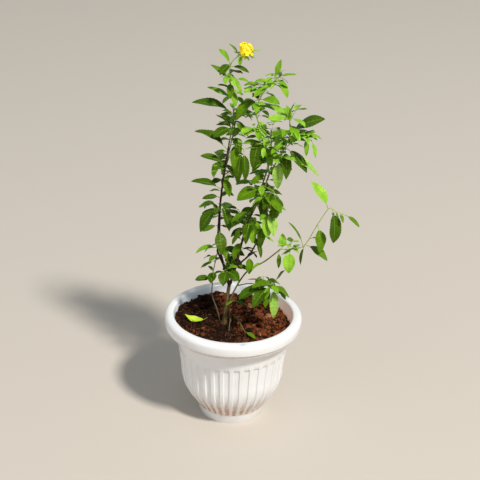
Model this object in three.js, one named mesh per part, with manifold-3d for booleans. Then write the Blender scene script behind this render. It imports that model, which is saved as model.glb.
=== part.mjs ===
// Potted lantana: a young, open shrub of several thin stems in a fluted white plastic pot.
// Millimetres, +Z up. The origin is the middle of the pot's flat underside, and the viewer
// stands on the -Y side with +X to the right.

import * as THREE from 'three';
import { mergeVertices } from 'three/addons/utils/BufferGeometryUtils.js';
import Module from 'manifold-3d';

const wasm = await Module();
wasm.setup();

// Clearance between neighbouring pieces.
const GAP = 0.3;

// Limbs are drawn with a ring of corners every so often.
const RING_SPACING = 12;
const TRUNK_SIDES = 10;
const LIMB_SIDES = 6;
const STEM_SIDES = 4;
const TWIG_SIDES = 3;

// A limb's foot widens over this height, and is slightly lobed over a little more.
const FLARE_HEIGHT = 6;
const LOBES = 3;
const LOBE_DEPTH = 0.1;
const LOBE_HEIGHT = 10;

// Joined shapes are simplified by no more than this, and the pot by less.
const SIMPLIFY = 0.25;
const POT_SIMPLIFY = 0.01;

// Leaves of one shoot may share this much, in cubic millimetres, where their stalks meet.
const CROSSING = 4;

// The pot: a common ten inch pot with a rolled rim and upright flutes.
const POT_HEIGHT = 205;
const RIM_RADIUS = 127;
const RIM_DEPTH = 22;
const RIM_ROLL = 9;
const RIM_DRAFT = 0.8;
const RIM_OVERLAP = 3;
const MOUTH_RADIUS = 110;
const MOUTH_EDGE = 4;
const STEP_DEPTH = 7;
const STEP_INSET = 5;
const STEP_WALL = 3;
const NECK_RADIUS = 108.5;
const NECK_HEIGHT = POT_HEIGHT - RIM_DEPTH - STEP_DEPTH;
const SHOULDER_RISE = 8;
const BELLY_RADIUS = 95.5;
const BELLY_HEIGHT = 92;
const FOOT_RADIUS = 60.5;
const FOOT_TOP_RADIUS = 63;
const FOOT_HEIGHT = 12;
const WALL = 2.6;
const FLOOR = 4;
const RIM_SIDES = 36;
const BORE_SIDES = 28;

// The pulls that bend the body's outline at the foot, below the belly and above it.
const FOOT_PULL = [3, 20];
const BELLY_PULL = [-0.5, -44];
const NECK_PULL = [2.5, 33];

// Flutes: hollows with a flat land between each two.
const FLUTES = 34;
const FLUTE_DEPTH = 1.8;
const FLUTE_TOP = 138;
const FLUTE_FOOT = 19;
const FLUTE_END = 4;
const LAND_HALF_ANGLE = 2;

// Heights at which the body is drawn, outside and inside.
const BELL_ROWS = [44, 70];
const BODY_ROWS = [
  FOOT_HEIGHT, FLUTE_FOOT, FLUTE_FOOT + FLUTE_END, ...BELL_ROWS, FLUTE_TOP - FLUTE_END, FLUTE_TOP, NECK_HEIGHT,
];
const BORE_ROWS = [FLOOR + FOOT_HEIGHT, ...BELL_ROWS, FLUTE_TOP, NECK_HEIGHT];

// The soil: higher at the left, lower at the right, and lumpy on top.
const SOIL_LEVEL = 186;
const SOIL_SLOPE = -0.07;
const SOIL_RISE_TO_BACK = 0.02;
const SOIL_CLEARANCE = 0.5;
const SOIL_RINGS = 5;
const LUMP_HEIGHT = 2.2;
const LUMP_LENGTH = [9, 11];
const SMALL_LUMP_HEIGHT = 1.3;
const SMALL_LUMP_LENGTH = 4.5;

// A leaf: an ovate blade on a short stalk, flat above, with its midrib as a keel below.
const LEAF_SIDES = 3;
const LEAF_THICKNESS = 1.2;
const STALK_RADIUS = 0.75;
const STALK_SHARE = 0.2;
const LEAF_HALF_WIDTH = 0.25;
const LEAF_STATIONS = [0, 0.22, 0.45, 0.76, 1];
const LEAF_BREADTHS = [0, 0.22, 1, 0.76, 0];
const LEAF_DROOP = 40;
const LEAN_TO_LIGHT = 26;

// How far the seeded rule may stray from a leaf's plain place, in degrees and as a share.
const HEADING_PLAY = 18;
const LIFT_PLAY = 16;
const ROLL_PLAY = 24;
const LENGTH_PLAY = 0.16;
const SPACING_PLAY = 0.2;

// Pairs of leaves stand crosswise along this stretch of a stem, and shorten towards its tip.
const PAIRS_FROM = 0.12;
const PAIRS_SPAN = 0.86;
const TIP_SHORTENING = 0.25;

// Twigs stand along this stretch, each turned from the last, with leaves as
// [place along the twig, turn away from it, share of the shoot's leaf length].
const TWIGS_FROM = 0.3;
const TWIGS_SPAN = 0.5;
const TWIG_FIRST_TURN = 45;
const TWIG_TURN = 137.5;
const TWIG_LIFT = 40;
const TWIG_SHARE = 0.8;
const TWIG_RADIUS = [0.9, 0.7];
const TWIG_LEAVES = [[1, 0, 0.7], [0.7, 90, 0.6], [0.7, -90, 0.6]];

// Foliage stays within this distance of its own stem.
const REACH = 88;

// The flower head and the cluster of unripe fruit, with their places from their stem's tip.
const HEADS = {
  flower: { offset: [2, 0, 5], radius: 12, height: 16, detail: 2 },
  fruit: { offset: [6, -5, -10], radius: 7, height: 15, detail: 1 },
};
const KNOB_DEPTH = 0.16;
const KNOB_RATE = 8;

// Bare limbs: route from foot to tip, with the radius at each end. Those that stand in the soil
// have a level foot just under its top.
const LIMBS = {
  trunk: {
    route: [[-16, -5, 183.9], [-13.5, -3.5, 222], [-9, 0, 261]],
    radius: [4, 3.2],
    flare: 3.4,
    seat: true,
  },
  bough_left: { route: [[-9.5, 0, 262], [-21, 3, 303], [-31, 6, 325]], radius: [2.5, 2] },
  bough_left_rear: { route: [[-8, 3, 262], [-18, 14, 290], [-28, 28, 324], [-29, 36, 350]], radius: [2, 1.5] },
  bough_middle: { route: [[-8, -1, 262], [3, -4, 305], [9, -6, 337], [14, -8, 362]], radius: [2.5, 2] },
  bough_right: { route: [[4, -5, 304], [27, -12, 332], [47, -22, 386], [52, -24, 405]], radius: [1.8, 1.3] },
  bough_back: { route: [[-6, 3, 262], [0, 18, 288], [9, 36, 318], [14, 44, 337]], radius: [2, 1.6] },
  bough_arch: {
    route: [
      [-6.5, 4.5, 184.1], [-8, 2.5, 222], [-3.6, 2, 238], [12.4, -3, 276], [26.5, -8, 298],
      [55, -18, 322], [81, -26, 350],
    ],
    radius: [1.7, 1.2],
    seat: true,
  },
  bough_low_right: { route: [[7, -1.5, 262], [28, -12, 272], [46, -22, 275]], radius: [1.3, 1] },
  bough_thin: {
    route: [[-24.5, 4, 183.5], [-30.5, 4, 208], [-40, 3, 238], [-40, 1, 262]],
    radius: [1.2, 1],
    seat: true,
  },
  bough_front: {
    route: [[1.5, 4, 186], [3.5, -1, 196], [11, -22, 198.5], [18, -37, 192]],
    radius: [1, 0.8],
    seat: true,
  },
  dead_twig: {
    route: [[-3.5, -5, 186.4], [-4.5, -9, 196], [-6, -28, 198], [-7, -48, 192]],
    radius: [1, 0.7],
    seat: true,
  },
};

// Masses of foliage, each on one stem: its route, and the radius at each end.
// own lists the leaves that stand out by themselves, as place along the stem, heading, lift,
// length and, where it differs, breadth. A heading of 0 is to the right, 90 to the back, 180
// to the left and 270 to the front. The rule adds pairs of leaves and axil twigs of its own.
const SHOOTS = {
  foliage_left_foot: {
    route: [[-31.5, 6, 326], [-31, 8, 373], [-30, 9, 396]],
    radius: [1.9, 1.7],
    own: [[0.12, 184, -16, 42, 1.1], [0.35, 300, -40, 42], [0.68, 285, -54, 52, 1.2], [0.2, 318, -46, 46]],
    pairs: 2, turn: 100, leaf: 36, lift: -20, twigs: 0, seed: 3,
  },
  foliage_left_lower: {
    route: [[-30, 9, 396], [-28, 11, 430], [-25.5, 12, 456]],
    radius: [1.7, 1.5],
    own: [[0.33, 206, -50, 60, 1.3], [0.6, 180, -6, 34], [0.45, 310, -60, 56, 0.8], [0.86, 180, 14, 58]],
    pairs: 2, turn: 80, leaf: 34, lift: -15, twigs: 0, seed: 14,
  },
  foliage_left_middle: {
    route: [[-25.5, 12, 456], [-22, 14, 490], [-17, 15, 522], [-14.5, 15, 540]],
    radius: [1.5, 1.3],
    own: [
      [0.45, 180, 20, 48], [0.38, 190, -6, 24], [0.4, 330, -6, 32], [0.2, 300, -52, 40],
      [0.79, 182, 30, 70, 1.1],
    ],
    pairs: 2, turn: 95, leaf: 32, lift: 0, twigs: 0, seed: 25,
  },
  foliage_left_hanging: {
    route: [[-16, 15, 531], [0, 4, 538], [11, -4, 532]],
    radius: [1, 0.8],
    own: [[0.9, 275, -74, 68, 0.9], [0.97, 300, -70, 60, 0.9], [0.5, 262, -58, 46], [0.7, 10, 10, 36]],
    pairs: 1, turn: 100, leaf: 30, lift: -10, twigs: 0, seed: 36,
  },
  foliage_left_upper: {
    route: [[-14.5, 15, 540], [-9, 14, 570], [-8, 12, 601]],
    radius: [1.3, 1.1],
    own: [[0.34, 186, 44, 42, 0.8], [0.42, 212, -16, 42, 1.3], [0.86, 181, 14, 84], [0.6, 330, -30, 36]],
    pairs: 2, turn: 90, leaf: 32, lift: 0, twigs: 1, seed: 47,
  },
  foliage_left_top: {
    route: [[-8, 12, 601], [-12, 10, 636], [-17, 8, 659], [-14, 6, 687], [0, 4, 701], [8, 3, 706]],
    radius: [1.1, 0.8],
    own: [
      [0.14, 180, 24, 60, 0.8], [0.5, 180, 38, 42, 0.8], [0.7, 180, 50, 42], [0.9, 180, 50, 28, 0.8],
      [0.84, 330, -34, 38], [0.62, 320, -18, 34], [0.55, 320, -58, 46], [0.45, 275, -56, 32, 1.2],
      [0.74, 225, -30, 32, 1.2], [0.94, 320, -20, 20], [0.3, 200, 24, 30], [0.32, 290, -50, 34],
    ],
    pairs: 1, turn: 85, leaf: 30, lift: 0, twigs: 0, seed: 58, head: 'flower',
  },
  foliage_rear_lower: {
    route: [[-29, 36, 350], [-29, 42, 394], [-27, 46, 425]],
    radius: [1.5, 1.3],
    own: [],
    pairs: 3, turn: 65, leaf: 42, lift: -12, twigs: 0, seed: 69,
  },
  foliage_rear_upper: {
    route: [[-27, 46, 425], [-22, 50, 465], [-14, 50, 512]],
    radius: [1.3, 1.1],
    own: [],
    pairs: 3, turn: 40, leaf: 42, lift: -5, twigs: 1, seed: 71,
  },
  foliage_rear_top: {
    route: [[-14, 50, 512], [-6, 46, 556], [-4, 42, 590]],
    radius: [1.1, 0.8],
    own: [],
    pairs: 3, turn: 60, leaf: 36, lift: 10, twigs: 1, seed: 82,
  },
  foliage_middle_lower: {
    route: [[14, -8, 362], [25, -10, 403], [31, -9, 417]],
    radius: [1.9, 1.7],
    own: [
      [0.72, 256, -60, 48], [0.8, 286, -70, 50], [0.94, 200, -20, 44], [0.3, 220, -34, 38],
      [0.25, 330, -40, 36],
    ],
    pairs: 2, turn: 90, leaf: 36, lift: -15, twigs: 1, seed: 93,
  },
  foliage_middle_upper: {
    route: [[31, -9, 417], [37, -8, 430], [49, -5, 460], [58, 0, 489]],
    radius: [1.7, 1.4],
    own: [[0.5, 206, -14, 60, 1.3], [0.45, 282, -64, 48, 1.1], [0.92, 200, -20, 38], [0.2, 320, -48, 40]],
    pairs: 2, turn: 80, leaf: 36, lift: -10, twigs: 0, seed: 104,
  },
  foliage_right_lower: {
    route: [[52, -24, 405], [56, -26, 431], [60, -28, 455], [66, -28, 474]],
    radius: [1.3, 1],
    own: [
      [0.3, 276, -72, 50, 1.2], [0.36, 306, -66, 52, 1.1], [0.92, 292, -74, 58], [0.9, 240, -44, 42],
      [0.5, 350, -20, 34],
    ],
    pairs: 2, turn: 60, leaf: 36, lift: -20, twigs: 0, seed: 115,
  },
  foliage_upper_middle: {
    route: [[56.3, 1.3, 489.7], [50, 6, 519], [42, 9, 555], [36, 9, 575]],
    radius: [1.3, 1.1],
    own: [
      [0.62, 252, -72, 68, 1.1], [0.55, 300, -48, 42], [0.35, 330, -15, 36], [0.3, 215, -38, 38],
      [0.9, 215, -10, 36],
    ],
    pairs: 2, turn: 95, leaf: 34, lift: -5, twigs: 0, seed: 126, head: 'fruit',
  },
  foliage_upper_middle_top: {
    route: [[36, 9, 575], [30, 10, 597], [40, 10, 629], [53, 8, 648], [69, 6, 665]],
    radius: [1.1, 0.8],
    own: [
      [0.3, 222, -46, 52, 1.2], [0.32, 340, -4, 54, 0.9], [0.45, 320, 4, 46, 1.2], [0.6, 215, 10, 44, 1.2],
      [0.7, 235, -8, 40], [0.92, 60, 64, 36, 0.9], [0.95, 310, -46, 40], [0.98, 350, 12, 32],
      [0.5, 200, 30, 38], [0.2, 200, 6, 34],
    ],
    pairs: 2, turn: 90, leaf: 34, lift: 5, twigs: 1, seed: 137,
  },
  foliage_upper_right: {
    route: [[58.7, -0.6, 489.3], [73, -6, 519], [84, -10, 545], [90, -12, 565], [88, -12, 596]],
    radius: [1.3, 0.9],
    own: [
      [0.76, 352, 22, 68, 0.9], [0.66, 344, 10, 64, 0.8], [0.5, 335, -42, 60, 1.2], [0.36, 330, -30, 72, 0.8],
      [0.5, 285, -74, 58], [0.28, 268, -78, 62, 1.3], [0.97, 190, 4, 40], [0.9, 120, 66, 34],
      [0.98, 20, 72, 32, 0.8], [0.8, 248, 0, 38], [0.9, 290, -20, 42], [0.6, 220, -20, 40],
    ],
    pairs: 2, turn: 85, leaf: 36, lift: 0, twigs: 1, seed: 148,
  },
  foliage_upper_right_twig: {
    route: [[90, -12, 562], [110, -20, 567], [128, -24, 560]],
    radius: [0.9, 0.7],
    own: [[0.7, 285, -74, 34, 0.8], [0.97, 310, -66, 32, 0.8], [0.4, 250, -10, 30, 0.9], [0.55, 20, 10, 26]],
    pairs: 1, turn: 70, leaf: 24, lift: 0, twigs: 0, seed: 159,
  },
  foliage_back_lower: {
    route: [[14, 44, 337], [25, 50, 376], [34, 52, 404]],
    radius: [1.6, 1.4],
    own: [],
    pairs: 3, turn: 40, leaf: 42, lift: -12, twigs: 0, seed: 161,
  },
  foliage_back_upper: {
    route: [[34, 52, 404], [46, 53, 440], [56, 50, 476]],
    radius: [1.4, 1.1],
    own: [],
    pairs: 3, turn: 10, leaf: 42, lift: -5, twigs: 1, seed: 172,
  },
  foliage_back_top: {
    route: [[56, 50, 476], [60, 46, 516], [58, 42, 552]],
    radius: [1.1, 0.8],
    own: [],
    pairs: 4, turn: 60, leaf: 36, lift: 12, twigs: 1, seed: 183,
  },
  foliage_arch_middle: {
    route: [[81, -26, 350], [100, -32, 354], [121, -38, 362]],
    radius: [1.2, 1],
    own: [
      [0.08, 90, 76, 30, 1.4], [0.45, 268, -66, 50, 1.4], [0.9, 196, -18, 38, 0.7],
      [0.9, 184, 52, 58, 0.6],
    ],
    pairs: 1, turn: 60, leaf: 28, lift: 0, twigs: 0, seed: 194,
  },
  foliage_arch_tip: {
    route: [
      [121, -38, 362], [129, -41, 376], [148, -46, 418], [165, -51, 446], [175, -52, 440],
      [194, -54, 433],
    ],
    radius: [1, 0.7],
    own: [
      [0.71, 140, 45, 60, 1.1], [0.74, 272, -82, 66, 1], [0.16, 320, 20, 24, 0.7], [0.14, 332, -46, 50, 0.9],
      [0.34, 296, -76, 54, 1.1], [0.05, 220, -78, 40, 0.6], [0.97, 340, -34, 36, 0.9], [0.9, 290, -40, 24],
      [0.78, 320, -70, 28, 0.7],
    ],
    pairs: 0, turn: 90, leaf: 26, lift: 0, twigs: 0, seed: 205,
  },
  foliage_thin: {
    route: [[-40, 1, 262], [-40.5, 0, 275], [-36, -3, 305], [-32, -8, 330]],
    radius: [1, 0.8],
    own: [[0.15, 190, -12, 32, 1.2], [0.2, 278, -22, 36, 1.3], [0.95, 240, -10, 28]],
    pairs: 1, turn: 100, leaf: 26, lift: 0, twigs: 0, seed: 216,
  },
  foliage_fork: {
    route: [[-18, 1, 290], [-17, -9, 296], [-14, -18, 298]],
    radius: [1, 0.8],
    own: [[0.9, 250, -46, 46, 1.4], [0.8, 300, -44, 36, 1.2], [0.6, 340, -14, 30]],
    pairs: 1, turn: 60, leaf: 24, lift: 0, twigs: 0, seed: 227,
  },
  foliage_low_right: {
    route: [[46, -22, 275], [60, -28, 277], [74, -33, 283]],
    radius: [1, 0.8],
    own: [
      [0.1, 206, -24, 52, 1.1], [0.9, 206, -22, 48, 1.2], [0.97, 340, 60, 38], [0.95, 340, -50, 36],
      [0.75, 225, -38, 58, 1.1], [0.6, 255, -60, 46], [0.9, 275, -80, 68, 1.1], [0.35, 320, -34, 40],
    ],
    pairs: 1, turn: 80, leaf: 36, lift: -20, twigs: 0, seed: 238,
  },
  foliage_low_leaf: {
    route: [[-7, 1.8, 226], [-1, -3.5, 231], [2, -6, 232]],
    radius: [0.9, 0.7],
    own: [[0.9, 335, -10, 24, 1.2], [0.8, 200, -30, 18]],
    pairs: 0, turn: 90, leaf: 20, lift: 0, twigs: 0, seed: 249,
  },
  foliage_front: {
    route: [[18, -37, 192], [20.5, -42, 190.5], [23, -47, 190]],
    radius: [0.9, 0.7],
    own: [[0.9, 316, -8, 28, 0.9]],
    pairs: 0, turn: 90, leaf: 18, lift: 0, twigs: 0, seed: 251,
  },
};

// The fallen leaf that lies on the soil.
const FALLEN_LEAF = {
  foot: [-44, -12, 190.5],
  heading: 172,
  lift: 3,
  length: 44,
  breadth: 1.3,
  roll: 10,
  droop: 14,
};

const COLOURS = {
  pot: 0xf1f0ec,
  soil: 0x4a2a1e,
  bark: 0x4b3a2a,
  leaf: 0x4f9a2a,
  fallen: 0xc6d64a,
};

const radians = THREE.MathUtils.degToRad;
const mix = THREE.MathUtils.lerp;

// A repeatable run of numbers from 0 to 1.
function seeded(seed) {
  let state = Math.imul(seed, 2654435761) >>> 0;
  return () => {
    state = (Math.imul(state, 1664525) + 1013904223) >>> 0;
    return state / 2 ** 32;
  };
}

function solidFrom(geometry) {
  geometry.deleteAttribute('normal');
  geometry.deleteAttribute('uv');
  const merged = mergeVertices(geometry);
  return new wasm.Manifold(new wasm.Mesh({
    numProp: 3,
    vertProperties: merged.attributes.position.array,
    triVerts: new Uint32Array(merged.index.array),
  }));
}

function geometryFrom(solid) {
  const mesh = solid.getMesh();
  const geometry = new THREE.BufferGeometry();
  geometry.setAttribute('position', new THREE.BufferAttribute(mesh.vertProperties, 3));
  geometry.setIndex(new THREE.BufferAttribute(mesh.triVerts, 1));
  return geometry;
}

// Moves every point of a geometry to where place(x, y, z) puts it.
function reshape(geometry, place) {
  const at = geometry.attributes.position;
  for (let i = 0; i < at.count; i += 1) {
    at.setXYZ(i, ...place(at.getX(i), at.getY(i), at.getZ(i)).toArray());
  }
  return geometry;
}

// A solid drawn out along its length: place(share, angle, side) gives the point at a share of
// the length and an angle round it, and side is 0 at the middle of an end and 1 elsewhere.
function drawnSolid(sides, rings, pointed, place) {
  const cylinder = new THREE.CylinderGeometry(pointed ? 0 : 1, 1, 1, sides, rings);
  reshape(cylinder, (x, y, z) => place(y + 0.5, Math.atan2(x, z), Math.hypot(x, z) > 1e-9 ? 1 : 0));
  return solidFrom(cylinder);
}

function curveOf(route) {
  return new THREE.CatmullRomCurve3(route.map((point) => new THREE.Vector3(...point)));
}

// A tapering limb. flare widens its foot, a seated limb's foot is cut level, and swell makes
// the limb thicker and longer all round.
function limb({ route, radius, flare = 0, seat = false }, sides, swell = 0) {
  const curve = curveOf(route);
  const length = curve.getLength();
  const rings = Math.max(2, Math.round(length / RING_SPACING));
  const frames = curve.computeFrenetFrames(rings, false);
  return drawnSolid(sides, rings, false, (share, angle, side) => {
    const ring = Math.round(share * rings);
    const flared = flare * Math.exp((-share * length) / FLARE_HEIGHT);
    const lobed = 1 + LOBE_DEPTH * Math.cos(LOBES * angle) * Math.exp((-share * length) / LOBE_HEIGHT);
    const thickness = (mix(radius[0], radius[1], share) + flared) * lobed + swell;
    const point = curve.getPointAt(share);
    point.addScaledVector(frames.tangents[ring], swell * (ring === 0 ? -1 : Number(ring === rings)));
    point.addScaledVector(frames.normals[ring], side * thickness * Math.cos(angle));
    point.addScaledVector(frames.binormals[ring], side * thickness * Math.sin(angle));
    if (seat && ring === 0) {
      point.z = route[0][2] - swell;
    }
    return point;
  });
}

// A leaf and its stalk, from its foot along an arc that starts above the lift and ends below it.
function leaf({ foot, heading, lift, length, breadth = 1, roll = 0, droop = LEAF_DROOP }) {
  const ahead = new THREE.Vector3(Math.cos(radians(heading)), Math.sin(radians(heading)), 0);
  const aside = new THREE.Vector3(ahead.y, -ahead.x, 0);
  const bend = radians(droop);
  const start = radians(lift) + bend / 2;
  const halfWidth = LEAF_HALF_WIDTH * length * (1 - STALK_SHARE) * breadth;
  const stations = LEAF_STATIONS.length - 1;
  const cornerReach = Math.sin((2 * Math.PI) / LEAF_SIDES);
  return drawnSolid(LEAF_SIDES, stations, true, (share, angle) => {
    const station = Math.round(share * stations);
    const along = LEAF_STATIONS[station];
    const slope = start - bend * along;
    const point = new THREE.Vector3(...foot);
    point.addScaledVector(ahead, (length * (Math.sin(start) - Math.sin(slope))) / bend);
    point.z += (length * (Math.cos(slope) - Math.cos(start))) / bend;
    const up = ahead.clone().multiplyScalar(-Math.sin(slope));
    up.z = Math.cos(slope);
    const turn = radians(roll) * along;
    const across = aside.clone().multiplyScalar(Math.cos(turn)).addScaledVector(up, Math.sin(turn));
    const above = up.multiplyScalar(Math.cos(turn)).addScaledVector(aside, -Math.sin(turn));
    const isTip = station === stations;
    const width = isTip ? 0 : Math.max(halfWidth * LEAF_BREADTHS[station], STALK_RADIUS);
    const keel = isTip ? 0 : Math.max(STALK_RADIUS * (1 - along), (LEAF_THICKNESS * 2) / 3);
    point.addScaledVector(across, (-width * Math.sin(angle)) / cornerReach);
    return point.addScaledVector(above, -keel * Math.cos(angle));
  });
}

// The leaves and twigs of a shoot, by the seeded rule. Every draw is made in a set order.
function growthOf({ route, own, pairs, turn, leaf: leafLength, lift, twigs, seed }) {
  const random = seeded(seed);
  const stray = (play) => (2 * random() - 1) * play;
  const curve = curveOf(route);
  const leafAt = (foot, heading, rise, length, breadth = 1) => ({
    foot: foot.toArray(),
    heading,
    lift: rise,
    length,
    breadth,
    roll: stray(ROLL_PLAY) - LEAN_TO_LIGHT * Math.cos(radians(heading)) * Math.cos(radians(rise)),
  });
  const growth = own.map(([at, heading, rise, length, breadth]) => ({
    leaves: [leafAt(curve.getPointAt(at), heading, rise, length, breadth)],
  }));
  for (let pair = 0; pair < pairs; pair += 1) {
    const at = PAIRS_FROM + (PAIRS_SPAN * (pair + 0.5 + stray(SPACING_PLAY))) / pairs;
    for (const half of [0, 180]) {
      const heading = turn + 90 * pair + half + stray(HEADING_PLAY);
      const rise = lift + stray(LIFT_PLAY);
      const length = leafLength * (1 - TIP_SHORTENING * at) * (1 + stray(LENGTH_PLAY));
      growth.push({ leaves: [leafAt(curve.getPointAt(at), heading, rise, length)] });
    }
  }
  for (let twig = 0; twig < twigs; twig += 1) {
    const from = curve.getPointAt(TWIGS_FROM + (TWIGS_SPAN * (twig + 0.5)) / twigs);
    const heading = turn + TWIG_FIRST_TURN + TWIG_TURN * twig + stray(HEADING_PLAY);
    const rise = radians(TWIG_LIFT + stray(LIFT_PLAY));
    const length = leafLength * (TWIG_SHARE + stray(LENGTH_PLAY));
    const way = new THREE.Vector3(Math.cos(radians(heading)), Math.sin(radians(heading)), Math.tan(rise));
    const tip = from.clone().addScaledVector(way, length * Math.cos(rise));
    const leaves = TWIG_LEAVES.map(([at, aside, share]) => {
      const foot = from.clone().lerp(tip, at);
      const direction = heading + aside + stray(HEADING_PLAY);
      return leafAt(foot, direction, lift + stray(LIFT_PLAY), leafLength * share);
    });
    growth.push({ stem: { route: [from.toArray(), tip.toArray()], radius: TWIG_RADIUS }, leaves });
  }
  return growth;
}

function isInReach(spray, curve) {
  const foot = new THREE.Vector3(...spray.foot);
  const near = Math.min(...curve.getPoints(RING_SPACING).map((point) => point.distanceTo(foot)));
  return near + spray.length < REACH;
}

function touches(solid, others) {
  return others.some((other) => solid.minGap(other, GAP) < GAP);
}

function crosses(blade, blades) {
  return blades.some((other) => blade.intersect(other).volume() > CROSSING);
}

function joined(solids) {
  const whole = solids.reduce((sum, solid) => sum.add(solid)).simplify(SIMPLIFY);
  const bodies = whole.decompose();
  return bodies.reduce((largest, body) => (body.volume() > largest.volume() ? body : largest));
}

// A knobbly ball at the tip of a shoot: a head of small flowers, or a cluster of fruit.
function headOf({ head, route }) {
  if (!head) {
    return [];
  }
  const { offset, radius, height, detail } = HEADS[head];
  const centre = new THREE.Vector3(...route[route.length - 1]).add(new THREE.Vector3(...offset));
  const ball = new THREE.IcosahedronGeometry(1, detail);
  return [solidFrom(reshape(ball, (x, y, z) => {
    const knobs = Math.cos(KNOB_RATE * x) * Math.cos(KNOB_RATE * y) * Math.cos(KNOB_RATE * z);
    const point = new THREE.Vector3(x * radius, y * radius, z * height);
    return point.multiplyScalar(1 + KNOB_DEPTH * knobs).add(centre);
  }))];
}

// The leaves and twigs of a shoot that have room: in reach of its stem, clear of every other
// piece, and not through one another.
function foliageOf(name, shoot, stem, others) {
  const curve = curveOf(shoot.route);
  const mass = [stem, ...headOf(shoot)];
  const blades = [];
  for (const { stem: twig, leaves } of growthOf(shoot)) {
    const twigs = twig ? [limb(twig, TWIG_SIDES)] : [];
    if (twigs.some((solid) => touches(solid, others))) {
      continue;
    }
    mass.push(...twigs);
    for (const spray of leaves) {
      const blade = leaf(spray);
      if (isInReach(spray, curve) && !touches(blade, others) && !crosses(blade, blades)) {
        blades.push(blade);
      }
    }
  }
  return joined([...mass, ...blades]);
}

// The pot's outside below the rim, from the foot up: a bell curve, then an easy flare.
const footTop = new THREE.Vector2(FOOT_TOP_RADIUS, FOOT_HEIGHT);
const belly = new THREE.Vector2(BELLY_RADIUS, BELLY_HEIGHT);
const neck = new THREE.Vector2(NECK_RADIUS, NECK_HEIGHT);
const pulled = (point, pull) => point.clone().add(new THREE.Vector2(...pull));
const bellPulls = [pulled(footTop, FOOT_PULL), pulled(belly, BELLY_PULL)];
const bellCurve = new THREE.CubicBezierCurve(footTop, ...bellPulls, belly);
const neckCurve = new THREE.QuadraticBezierCurve(belly, pulled(belly, NECK_PULL), neck);
const bodyCurve = [...bellCurve.getPoints(24), ...neckCurve.getPoints(16).slice(1)];

function bodyPoint(height, inset = 0) {
  const above = Math.max(1, bodyCurve.findIndex((point) => point.y >= height - 1e-6));
  const [low, high] = [bodyCurve[above - 1], bodyCurve[above]];
  return new THREE.Vector2(THREE.MathUtils.mapLinear(height, low.y, high.y, low.x, high.x) - inset, height);
}

// The hollow of the pot from the middle of its floor up to the neck.
function boreProfile(inset = 0) {
  const floor = FLOOR + inset;
  const wall = BORE_ROWS.map((height) => bodyPoint(height, WALL + inset));
  return [new THREE.Vector2(0, floor), new THREE.Vector2(FOOT_RADIUS - WALL - inset, floor), ...wall];
}

function lathe(points, sides) {
  return new THREE.LatheGeometry(points, sides).rotateX(Math.PI / 2);
}

// The body's ring of points is dealt out three to a flute: two edges of a land, then the
// middle of the hollow between this land and the next. The first land faces the viewer.
function fluted(x, y, z) {
  const radius = Math.hypot(x, y);
  if (radius < 1) {
    return new THREE.Vector3(x, y, z);
  }
  const pitch = 360 / FLUTES;
  const turn = Math.round(((THREE.MathUtils.radToDeg(Math.atan2(x, -y)) + 360) * 3) / pitch);
  const corner = [-LAND_HALF_ANGLE, LAND_HALF_ANGLE, pitch / 2][turn % 3];
  const angle = radians(Math.floor(turn / 3) * pitch + corner);
  const isHollow = turn % 3 === 2 && z > FLUTE_FOOT && z < FLUTE_TOP;
  const depth = isHollow ? FLUTE_DEPTH : 0;
  return new THREE.Vector3((radius - depth) * Math.sin(angle), (depth - radius) * Math.cos(angle), z);
}

function potBody() {
  const shoulder = POT_HEIGHT - RIM_DEPTH + SHOULDER_RISE;
  const points = [
    new THREE.Vector2(0, 0),
    new THREE.Vector2(FOOT_RADIUS, 0),
    ...BODY_ROWS.map((height) => bodyPoint(height)),
    new THREE.Vector2(NECK_RADIUS, shoulder),
    new THREE.Vector2(0, shoulder),
  ];
  return solidFrom(reshape(lathe(points, FLUTES * 3), fluted));
}

function arc(centre, radius, from, to, steps) {
  const points = [];
  for (let step = 0; step <= steps; step += 1) {
    const angle = radians(mix(from, to, step / steps));
    points.push(new THREE.Vector2(centre[0] + radius * Math.cos(angle), centre[1] + radius * Math.sin(angle)));
  }
  return points;
}

// The rim: a rounded band over a small step.
function potRim() {
  const bandFoot = POT_HEIGHT - RIM_DEPTH;
  const stepRadius = RIM_RADIUS - STEP_INSET;
  const core = NECK_RADIUS - WALL - RIM_ROLL;
  const points = [
    new THREE.Vector2(core, bandFoot + RIM_OVERLAP),
    new THREE.Vector2(stepRadius - STEP_WALL, bandFoot + RIM_OVERLAP),
    new THREE.Vector2(stepRadius - STEP_WALL, NECK_HEIGHT),
    new THREE.Vector2(stepRadius, NECK_HEIGHT),
    new THREE.Vector2(stepRadius, bandFoot),
    new THREE.Vector2(RIM_RADIUS - RIM_DRAFT, bandFoot),
    ...arc([RIM_RADIUS - RIM_ROLL, POT_HEIGHT - RIM_ROLL], RIM_ROLL, 0, 90, 3),
    new THREE.Vector2(core, POT_HEIGHT),
  ];
  return solidFrom(lathe([...points, points[0].clone()], RIM_SIDES));
}

function pot() {
  const mouth = arc([MOUTH_RADIUS + MOUTH_EDGE, POT_HEIGHT - MOUTH_EDGE], MOUTH_EDGE, 180, 95, 2);
  const above = POT_HEIGHT + RIM_ROLL;
  const open = [new THREE.Vector2(mouth[2].x, above), new THREE.Vector2(0, above)];
  const bore = solidFrom(lathe([...boreProfile(), ...mouth, ...open], BORE_SIDES));
  return potBody().add(potRim()).subtract(bore).simplify(POT_SIMPLIFY);
}

function soilHeight(x, y) {
  const lumps = LUMP_HEIGHT * Math.sin(x / LUMP_LENGTH[0] + 1.3) * Math.cos(y / LUMP_LENGTH[1]);
  const smallLumps = SMALL_LUMP_HEIGHT * Math.sin((x - y) / SMALL_LUMP_LENGTH);
  return SOIL_LEVEL + SOIL_SLOPE * x + SOIL_RISE_TO_BACK * y + lumps + smallLumps;
}

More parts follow.
